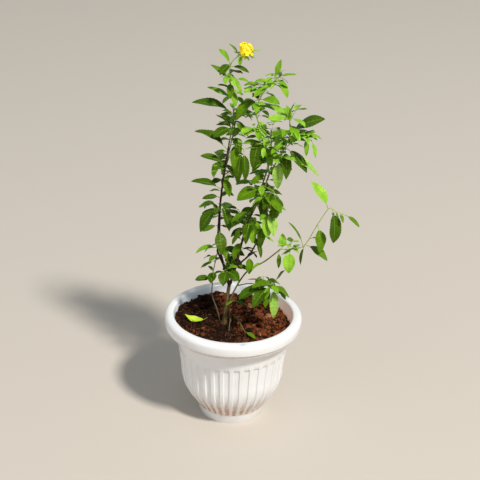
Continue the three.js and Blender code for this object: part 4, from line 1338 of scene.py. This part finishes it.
def leaf_line(leaf, shares):
    """Points, and the two directions across them, along the arc of a leaf."""
    heading = math.radians(leaf["heading"])
    ahead = np.array([math.cos(heading), math.sin(heading), 0])
    aside = np.array([ahead[1], -ahead[0], 0])
    bend = math.radians(leaf.get("droop", LEAF_DROOP))
    start = math.radians(leaf["lift"]) + bend / 2
    slope = (start - bend * shares)[:, None]
    upward = np.array([0, 0, 1])
    run = leaf["length"] / bend
    forward = (math.sin(start) - np.sin(slope)) * ahead
    rising = (np.cos(slope) - math.cos(start)) * upward
    points = leaf["foot"] + run * (forward + rising)
    up = np.cos(slope) * upward - np.sin(slope) * ahead
    turn = math.radians(leaf["roll"]) * shares[:, None]
    across = np.cos(turn) * aside + np.sin(turn) * up
    above = np.cos(turn) * up - np.sin(turn) * aside
    return points, across, above


def add_blade(sheaf, leaf, stray, stations=22, columns=4):
    """Adds one leaf's blade: folded along its midrib, quilted between its veins, toothed."""
    shares = np.linspace(0, 1, stations + 1)
    points, across, above = leaf_line(leaf, STALK_SHARE + (1 - STALK_SHARE) * shares)
    outline = np.clip(shares, 0.012, 1) ** 0.6 * np.clip(1 - shares, 0, 1) ** 0.92 / 0.395 + 0.015
    teeth = 1 + LEAF_TEETH * np.where(np.arange(stations + 1) % 2, 1, -1)
    widest = LEAF_HALF_WIDTH * leaf["length"] * (1 - STALK_SHARE) * leaf["breadth"]
    half = widest * np.minimum(outline, 1)
    fold = math.radians(leaf.get("fold", LEAF_FOLD) + stray(FOLD_PLAY))
    cup = leaf.get("cup", LEAF_CUP) + stray(CUP_PLAY)
    ripple = LEAF_RIPPLE + stray(RIPPLE_PLAY)
    phase = stray(math.pi)
    evenly = np.ones(stations + 1)
    grid, marks = [], []
    for column in np.linspace(-1, 1, columns + 1):
        edge = abs(column)
        width = half * column * (teeth if edge == 1 else 1)
        veins = np.cos(2 * math.pi * (VEINS * shares - VEIN_SLANT * edge))
        lifted = half * (edge * math.sin(fold) - cup * edge**2)
        lifted += half * ripple * edge * np.sin(9 * shares + phase + 2 * column)
        lifted += QUILT_HEIGHT * leaf["length"] * veins * (edge > 0) * (edge < 1)
        grid.append(points + across * (width * math.cos(fold))[:, None] + above * lifted[:, None])
        marks.append(np.column_stack([shares, evenly * column, evenly * phase]))
    marks = np.stack(marks, axis=1).reshape(-1, 3)
    sheaf.add_grid(np.stack(grid, axis=1), marks=marks)


def add_stalk(sheaf, leaf, thickness=1.0):
    """Adds a leaf's stalk, which runs on as its midrib."""
    shares = np.linspace(0, STALK_REACH, 7)
    points, _, _ = leaf_line(leaf, shares)
    sheaf.add_tube(points, STALK_RADIUS * thickness * (1 - 0.85 * shares), 3)


def add_twig(sheaf, foot, tip, radii, sides, points):
    """Adds a straight twig that tapers from its foot to its tip."""
    sheaf.add_tube(np.linspace(foot, tip, points), np.linspace(*radii, points), sides)


def growth_of(shoot):
    """The leaves and twigs of a shoot, by the frame's seeded rule and in its order of draws."""
    stray = strays(shoot["seed"])
    curve = Curve(shoot["route"])
    leaves, twigs = [], []

    def add_leaf(foot, heading, rise, length, breadth=1.0, is_own=False):
        lean = LEAN_TO_LIGHT * math.cos(math.radians(heading)) * math.cos(math.radians(rise))
        leaves.append({
            "foot": foot, "heading": heading, "lift": rise, "length": length, "breadth": breadth,
            "roll": stray(ROLL_PLAY) - lean, "is_own": is_own,
        })

    for at, heading, rise, length, *breadth in shoot["own"]:
        add_leaf(curve.at(at), heading, rise, length, *(breadth or [1.0]), is_own=True)
    for pair in range(shoot["pairs"]):
        at = PAIRS_FROM + PAIRS_SPAN * (pair + 0.5 + stray(SPACING_PLAY)) / shoot["pairs"]
        for half in (0, 180):
            heading = shoot["turn"] + 90 * pair + half + stray(HEADING_PLAY)
            rise = shoot["lift"] + stray(LIFT_PLAY)
            length = shoot["leaf"] * (1 - TIP_SHORTENING * at) * (1 + stray(LENGTH_PLAY))
            add_leaf(curve.at(at), heading, rise, length)
    for twig in range(shoot["twigs"]):
        foot = curve.at(TWIGS_FROM + TWIGS_SPAN * (twig + 0.5) / shoot["twigs"])
        heading = shoot["turn"] + TWIG_FIRST_TURN + TWIG_TURN * twig + stray(HEADING_PLAY)
        rise = TWIG_LIFT + stray(LIFT_PLAY)
        length = shoot["leaf"] * (TWIG_SHARE + stray(LENGTH_PLAY))
        tip = foot + length * direction(heading, rise)
        twigs.append((foot, tip))
        for at, aside, share in TWIG_LEAVES:
            turn = heading + aside + stray(HEADING_PLAY)
            rise = shoot["lift"] + stray(LIFT_PLAY)
            add_leaf(lerp(foot, tip, at), turn, rise, shoot["leaf"] * share)
    return curve, leaves, twigs


def direction(heading, rise):
    heading, rise = math.radians(heading), math.radians(rise)
    flat = math.cos(rise)
    return np.array([math.cos(heading) * flat, math.sin(heading) * flat, math.sin(rise)])


def solid_points(node):
    """The corners of a node of the frame, in millimetres."""
    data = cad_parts[node].data
    points = np.zeros(len(data.vertices) * 3)
    data.vertices.foreach_get("co", points)
    return points.reshape(-1, 3) / MM


def stands_in_solid(leaf, corners):
    """Whether the frame's solid has this leaf: it then has a corner at the leaf's tip."""
    tip = leaf_line(leaf, np.array([1.0]))[0][0]
    return np.linalg.norm(corners - tip, axis=1).min() < SAME_TIP


def has_room(points, foot, stems):
    """Whether points stay in the frame's box, and clear of every stem away from their own foot."""
    low, high = (np.array(corner) / MM for corner in CAD_BOX)
    if (points < low).any() or (points > high).any():
        return False
    away = points[np.linalg.norm(points - foot, axis=1) > CLEAR_OF_FOOT]
    if not len(away):
        return True
    gaps = np.linalg.norm(away[:, None] - stems[None], axis=2)
    return gaps.min() > CLEAR_OF_STEMS


def sprigs_of(shoot, curve, stems):
    """Finer shoots in the axils, with small leaves, where they have room."""
    stray = strays(shoot["seed"] + SPRIG_SEED)
    shares = np.linspace(0.2, 1, 5)
    for sprig in range(shoot["sprigs"]):
        place = (sprig + 0.5 + stray(SPRIG_SPACING_PLAY)) / shoot["sprigs"]
        foot = curve.at(SPRIGS_FROM + SPRIGS_SPAN * place)
        heading = shoot["turn"] + TWIG_TURN * sprig + stray(SPRIG_HEADING_PLAY)
        length = SPRIG_LENGTH * shoot["leaf"] * (1 + stray(SPRIG_LENGTH_PLAY))
        tip = foot + length * direction(heading, SPRIG_RISE + stray(SPRIG_RISE_PLAY))
        leaves = []
        for place, aside, share in SPRIG_LEAVES:
            leaf = {
                "foot": lerp(foot, tip, place),
                "heading": heading + aside + stray(SMALL_TURN_PLAY),
                "lift": shoot["lift"] + SMALL_LIFT + stray(SMALL_LIFT_PLAY),
                "length": share * shoot["leaf"] * (1 + stray(SMALL_LENGTH_PLAY)),
                "breadth": SMALL_BREADTH + stray(SMALL_BREADTH_PLAY),
                "roll": stray(SMALL_ROLL_PLAY),
                "droop": SMALL_DROOP + stray(SMALL_DROOP_PLAY),
            }
            if has_room(leaf_line(leaf, shares)[0], foot, stems):
                leaves.append(leaf)
        if leaves:
            yield (foot, tip), leaves


# The tones of leaves by letter, and the tone of a fine shoot's leaves, one step lighter than its
# mass's: partly the fresher green of young shoots, partly painted light that lifts their shade.
TONES = {"d": "deep", "m": "middle", "b": "fresh", "y": "young", "p": "light"}
ONE_TONE_LIGHTER = {"d": "m", "m": "b", "b": "y", "y": "y", "p": "y"}


def leaf_finish(name, colour):
    """A leaf's green, a little lighter along its veins, with its quilted relief."""
    finish = Finish(f"leaf_{name}", colour, 0.36, gloss=0.16)
    finish.shader.inputs["Specular Tint"].default_value = (0.9, 1, 0.4, 1)
    finish.tint(shaded(colour, 0.55), finish.patches(9, 3, 0.42, 0.68, 0.45))
    yellower = [colour[0] * 1.7, colour[1] * 1.35, colour[2] * 1.5]
    finish.tint(yellower, finish.patches(12, 2, 0.48, 0.72, 0.5))
    place = finish.attribute("leaf_place", "Vector")
    parts = finish.nodes.new("ShaderNodeSeparateXYZ")
    finish.links.new(place, parts.inputs["Vector"])
    along, aside = parts.outputs["X"], finish.maths("ABSOLUTE", parts.outputs["Y"])
    midrib = finish.band(aside, 0.07, 0.02)
    slant = finish.maths("MULTIPLY", aside, VEIN_SLANT)
    row = finish.maths("SUBTRACT", finish.maths("MULTIPLY", along, VEINS), slant)
    ridge = finish.maths("ABSOLUTE", finish.maths("SUBTRACT", finish.maths("FRACT", row), 0.5))
    side_veins = finish.maths("MULTIPLY", finish.band(ridge, 0.4, 0.5), 0.6)
    vein = finish.maths("MAXIMUM", midrib, side_veins)
    lighter = [lerp(channel, target, 0.4) for channel, target in zip(colour, VEIN_COLOUR)]
    finish.tint(lighter, finish.maths("MULTIPLY", vein, 0.6))
    finish.relief(finish.maths("SUBTRACT", 1, vein), 0.6, 0.7)
    finish.relief(finish.noise(2.4, 3), 0.5, 0.6)
    return finish.material


class LANTANA_OT_foliage(bpy.types.Operator):
    """Grow stems, twigs and leaves on from the limbs by the frame's seeded rule"""

    bl_idname = "lantana.foliage"
    bl_label = "Twigs and leaves"

    def execute(self, context):
        settings = context.scene.lantana_plant
        curves = {name: Curve(shape["route"]) for name, shape in {**LIMBS, **SHOOTS}.items()}
        stems = np.concatenate([curve.line(ROOM_SPACING) for curve in curves.values()])
        blades = {tone: Sheaf() for tone in TONES}
        barks = {shoot["bark"]: Sheaf() for shoot in SHOOTS.values()}
        stalks = Sheaf()
        for name, shoot in SHOOTS.items():
            curve, leaves, twigs = growth_of(shoot)
            corners = solid_points(name)
            looks = strays(shoot["seed"] + 2 * SPRIG_SEED)
            line = curve.line(STEM_SPACING)
            shares = np.linspace(0, 1, len(line))
            waves = np.cos(shares * curve.length * 2 * math.pi / STEM_KNOT_SPACING)
            radii = lerp(*shoot["radius"], shares) * (1 + STEM_KNOT_RELIEF * waves)
            barks[shoot["bark"]].add_tube(line, radii, STEM_SIDES)
            kept = [leaf for leaf in leaves if leaf["is_own"] or stands_in_solid(leaf, corners)]
            for foot, tip in twigs:
                add_twig(stalks, foot, tip, **TWIG_DRAWN)
            for index, leaf in enumerate(kept):
                tone = shoot["tones"][index % len(shoot["tones"])]
                add_blade(blades[tone], leaf, looks)
                add_stalk(stalks, leaf)
            for (foot, tip), small in sprigs_of(shoot, curve, stems):
                add_twig(stalks, foot, tip, **SPRIG_DRAWN)
                for index, leaf in enumerate(small):
                    tone = ONE_TONE_LIGHTER[shoot["tones"][(index * 3 + len(kept)) % len(shoot["tones"])]]
                    add_blade(blades[tone], leaf, looks, stations=12)
                    add_stalk(stalks, leaf, 0.6)
        looks = strays(BOUGH_LEAF_SEED)
        for name, leaves in BOUGH_LEAVES.items():
            for at, heading, lift, length, breadth, tone in leaves:
                leaf = {
                    "foot": curves[name].at(at), "heading": heading, "lift": lift, "length": length,
                    "breadth": breadth, "roll": looks(ROLL_PLAY),
                }
                add_blade(blades[tone], leaf, looks)
                add_stalk(stalks, leaf)
        masses = list(SHOOTS)
        for tone, sheaf in blades.items():
            title = TONES[tone]
            finish = leaf_finish(title, getattr(settings, title))
            add_piece(f"leaves_{title}", sheaf.mesh(title), finish, masses, crease=180)
        finishes = bark_finishes(settings)
        for bark, sheaf in barks.items():
            add_piece(f"stems_{bark}", sheaf.mesh(bark), finishes[bark])
        add_piece("leaf_stalks", stalks.mesh("stalks"), finishes["green"], crease=180)
        return {"FINISHED"}


def on_ball(count, lowest=-1.0):
    """Directions spread evenly over a ball, from its top down to a height of lowest."""
    steps = (np.arange(count) + 0.5) / count
    heights = 1 - steps * (1 - lowest)
    turns = np.radians(TWIG_TURN) * np.arange(count)
    flat = np.sqrt(1 - heights**2)
    return np.column_stack([flat * np.cos(turns), flat * np.sin(turns), heights])


def add_floret(petals, tubes, centre, root, outward, width, stray):
    """Adds one small trumpet flower of five round lobes, facing outward."""
    outward = outward / np.linalg.norm(outward)
    aside = np.cross(outward, (0.3, 0.5, 0.8))
    aside /= np.linalg.norm(aside)
    upward = np.cross(outward, aside)
    angles = np.linspace(0, 2 * math.pi, FLORET_SIDES, endpoint=False) + stray(math.pi)
    lobes = width / 2 * (0.66 + 0.34 * np.abs(np.cos(2.5 * angles)) ** 0.6)
    flat = np.cos(angles)[:, None] * aside + np.sin(angles)[:, None] * upward
    curl = 0.5 * np.cos(5 * angles + 1) + stray(0.9)
    rim = centre + flat * lobes[:, None] + outward * curl[:, None]
    throat = centre + flat * 0.9 + outward * 0.1
    petals.add_grid(np.stack([rim, throat]), closed=True)
    start = petals.count - FLORET_SIDES
    petals.faces.append([start + index for index in range(FLORET_SIDES)])
    tubes.add_tube(np.linspace(root, centre, 4), [0.5, 0.55, 0.7, 0.9], 5)


def add_cluster(sheaf, centre, stray, radius, height, berries, size, detail=1):
    """Adds a cluster of small round bodies over an upright ball."""
    points, faces = ball(detail)
    for way in on_ball(berries):
        place = centre + way * (radius, radius, height) * (1 + stray(0.05))
        sheaf.add(points * size * (1 + stray(0.15)) + place, faces)


def add_flower_head(petals, tubes, bracts, tip, stray):
    """Adds a ball of florets over its core, with a ring of bracts and the stalk below."""
    centre = tip + FLOWER["offset"]
    for way in on_ball(FLOWER["florets"], FLOWER_LOWEST):
        size = 1 + stray(0.2)
        place = centre + way * (FLOWER["radius"], FLOWER["radius"], FLOWER["height"]) * size
        place[2] = min(place[2], FLOWER["top"])
        facing = way + np.array([stray(0.45), stray(0.45), 0.2 + stray(0.4)])
        width = FLOWER["width"] * (1 + stray(0.15))
        add_floret(petals, tubes, place, centre - FLOWER["foot"], facing, width, stray)
    for turn in range(0, 360, BRACT_SPACING):
        bract = {"heading": turn + stray(15), "lift": -12 + stray(14), **BRACT}
        add_blade(bracts, {"foot": centre - (0, 0, 7), **bract}, stray, stations=8)
    core, faces = ball(2)
    petals.add(core * FLOWER["core"] + centre, faces)
    tubes.add_tube(np.linspace(tip, centre - (0, 0, 3), 4), [0.9, 1, 1.4, 2.2], 8)


def add_fruit(berries, tubes, tip, stray):
    """Adds the cluster of unripe fruit with its core of larger berries, and its stalk."""
    sizes = {key: value for key, value in FRUIT.items() if key != "offset"}
    centre = tip + FRUIT["offset"]
    add_cluster(berries, centre, stray, **sizes, detail=2)
    add_cluster(berries, centre, stray, **FRUIT_CORE)
    tubes.add_tube(np.linspace(tip, centre + (0, 0, 10), 4), [0.9, 0.8, 0.8, 1], 6)


def blossom_finishes(settings):
    """The materials of the blossom's pieces, by their names."""
    petal = Finish("petals", settings.petal, 0.5)
    petal.tint(shaded(settings.petal, 0.75), petal.patches(4, 3, 0.5, 0.8))
    throat = Finish("floret_tubes", settings.throat, 0.55)
    # A faint painted glow, an emission, lightens the shade of the petals and their tubes.
    for finish in (petal, throat):
        finish.shader.inputs["Emission Color"].default_value = (*PETAL_GLOW, 1)
        finish.shader.inputs["Emission Strength"].default_value = PETAL_GLOW_STRENGTH
    throat.relief(throat.noise(1.5, 3), 0.2, 0.3)
    green = leaf_finish("bracts", settings.middle)
    berry = Finish("berries", settings.berry, 0.35)
    berry.tint(settings.middle, berry.patches(5, 3, 0.54, 0.75))
    bud = Finish("buds", settings.bud, 0.5)
    bud.tint(settings.deep, bud.patches(4, 3, 0.45, 0.7))
    return {
        "florets": petal.material, "flower_tubes": throat.material, "bracts": green,
        "unripe_fruit": berry.material, "buds": bud.material,
    }


class LANTANA_OT_blossom(bpy.types.Operator):
    """Make the flower head, the cluster of unripe fruit and the buds"""

    bl_idname = "lantana.blossom"
    bl_label = "Blossom, fruit and buds"

    def execute(self, context):
        settings = context.scene.lantana_plant
        stray = strays(BLOSSOM_SEED)
        finishes = blossom_finishes(settings)
        sheaves = {title: Sheaf() for title in finishes}
        petals, tubes, bracts, berries, buds = sheaves.values()
        for name, shoot in SHOOTS.items():
            tip = np.array(shoot["route"][-1], float)
            if shoot.get("head") == "flower":
                add_flower_head(petals, tubes, bracts, tip, stray)
            if shoot.get("head") == "fruit":
                add_fruit(berries, tubes, tip, stray)
            if name in BUDS:
                offset, radius, count = BUDS[name]
                add_cluster(buds, tip + offset, stray, radius * 0.8, radius, count, radius * 0.42)
        for title, sheaf in sheaves.items():
            add_piece(title, sheaf.mesh(title), finishes[title])
        return {"FINISHED"}


class LANTANA_OT_fallen_leaf(bpy.types.Operator):
    """Lay the fallen leaf on the soil"""

    bl_idname = "lantana.fallen_leaf"
    bl_label = "Fallen leaf"

    def execute(self, context):
        settings = context.scene.lantana_plant
        sheaf = Sheaf()
        leaf = {**FALLEN_LEAF, "foot": np.array(FALLEN_LEAF["foot"], float)}
        add_blade(sheaf, leaf, strays(FALLEN_LEAF_SEED), stations=28, columns=8)
        add_stalk(sheaf, leaf)
        finish = Finish("fallen_leaf", settings.fallen, 0.5)
        finish.tint(FALLEN_LEAF_PATCHES, finish.patches(7, 4, 0.52, 0.72, 0.5))
        finish.relief(finish.noise(2, 3), 0.3, 0.5)
        node = "fallen_leaf"
        add_piece("fallen_leaf_blade", sheaf.mesh("fallen"), finish.material, [node], 180)
        return {"FINISHED"}


def add_light(name, place, size, power, colour):
    """Adds a round soft light that faces the plant's middle."""
    data = bpy.data.lights.new(name, "AREA")
    data.shape = "DISK"
    data.size = size
    data.energy = power
    data.color = colour
    light = bpy.data.objects.new(name, data)
    light.location = place
    towards = Vector(PLANT_MIDDLE) - Vector(place)
    light.rotation_euler = towards.to_track_quat("-Z", "Y").to_euler()
    bpy.context.scene.collection.objects.link(light)


class LANTANA_OT_stage(bpy.types.Operator):
    """Set out the plain floor, the soft lights and the camera"""

    bl_idname = "lantana.stage"
    bl_label = "Stage"

    def execute(self, context):
        settings = context.scene.lantana_stage
        mesh = bmesh.new()
        bmesh.ops.create_grid(mesh, x_segments=1, y_segments=1, size=FLOOR_SIZE)
        data = bpy.data.meshes.new("floor")
        mesh.to_mesh(data)
        mesh.free()
        finish = Finish("floor", settings.floor, 0.85, gloss=0.2)
        finish.relief(finish.noise(9, 3), 0.2, 0.1)
        data.materials.append(finish.material)
        floor = bpy.data.objects.new("floor", data)
        context.scene.collection.objects.link(floor)
        floor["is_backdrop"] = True
        power = settings.key_power
        add_light("key", KEY_PLACE, KEY_SIZE, power, KEY_COLOUR)
        add_light("fill", FILL_PLACE, FILL_SIZE, power * FILL_SHARE, FILL_COLOUR)
        context.scene.view_settings.view_transform = "Standard"
        world = context.scene.world or bpy.data.worlds.new("sky")
        context.scene.world = world
        world.use_nodes = True
        background = world.node_tree.nodes["Background"]
        background.inputs["Color"].default_value = (*SKY_COLOUR, 1)
        background.inputs["Strength"].default_value = settings.sky
        camera = bpy.data.objects.new("camera", bpy.data.cameras.new("camera"))
        camera.data.lens = settings.lens
        camera.data.sensor_width = CAMERA_SENSOR
        tilt = Matrix.Rotation(math.radians(90 - CAMERA_PITCH), 4, "X")
        roll = Matrix.Rotation(math.radians(CAMERA_ROLL), 4, "Z")
        camera.matrix_world = Matrix.Translation(Vector(CAMERA_PLACE) * MM) @ tilt @ roll
        context.scene.collection.objects.link(camera)
        context.scene.camera = camera
        return {"FINISHED"}


OPERATORS = (
    LANTANA_OT_pot, LANTANA_OT_soil, LANTANA_OT_limbs, LANTANA_OT_foliage, LANTANA_OT_blossom,
    LANTANA_OT_fallen_leaf, LANTANA_OT_stage,
)
SETTINGS = {
    "lantana_pot": LantanaPotSettings,
    "lantana_soil": LantanaSoilSettings,
    "lantana_plant": LantanaPlantSettings,
    "lantana_stage": LantanaStageSettings,
}


class LANTANA_PT_panel(bpy.types.Panel):
    """Lists the pieces of the potted lantana"""

    bl_idname = "LANTANA_PT_panel"
    bl_label = "Potted lantana"
    bl_space_type = "VIEW_3D"
    bl_region_type = "UI"
    bl_category = "Lantana"

    def draw(self, context):
        for group in SETTINGS:
            box = self.layout.box()
            settings = getattr(context.scene, group)
            for name in settings.bl_rna.properties.keys():
                if name not in ("rna_type", "name"):
                    box.prop(settings, name)
        for operator in OPERATORS:
            self.layout.operator(operator.bl_idname)


def register():
    for group, settings in SETTINGS.items():
        bpy.utils.register_class(settings)
        setattr(bpy.types.Scene, group, bpy.props.PointerProperty(type=settings))
    for operator in OPERATORS:
        bpy.utils.register_class(operator)
    bpy.utils.register_class(LANTANA_PT_panel)


def unregister():
    bpy.utils.unregister_class(LANTANA_PT_panel)
    for operator in reversed(OPERATORS):
        bpy.utils.unregister_class(operator)
    for group, settings in reversed(SETTINGS.items()):
        delattr(bpy.types.Scene, group)
        bpy.utils.unregister_class(settings)


def main():
    register()
    for operator in OPERATORS:
        group, name = operator.bl_idname.split(".")
        getattr(getattr(bpy.ops, group), name)()
    boxes = {"cad": CAD_BOX, "visual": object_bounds()}
    lists = {name: [list(corner) for corner in box] for name, box in boxes.items()}


if __name__ == "__main__":
    main()
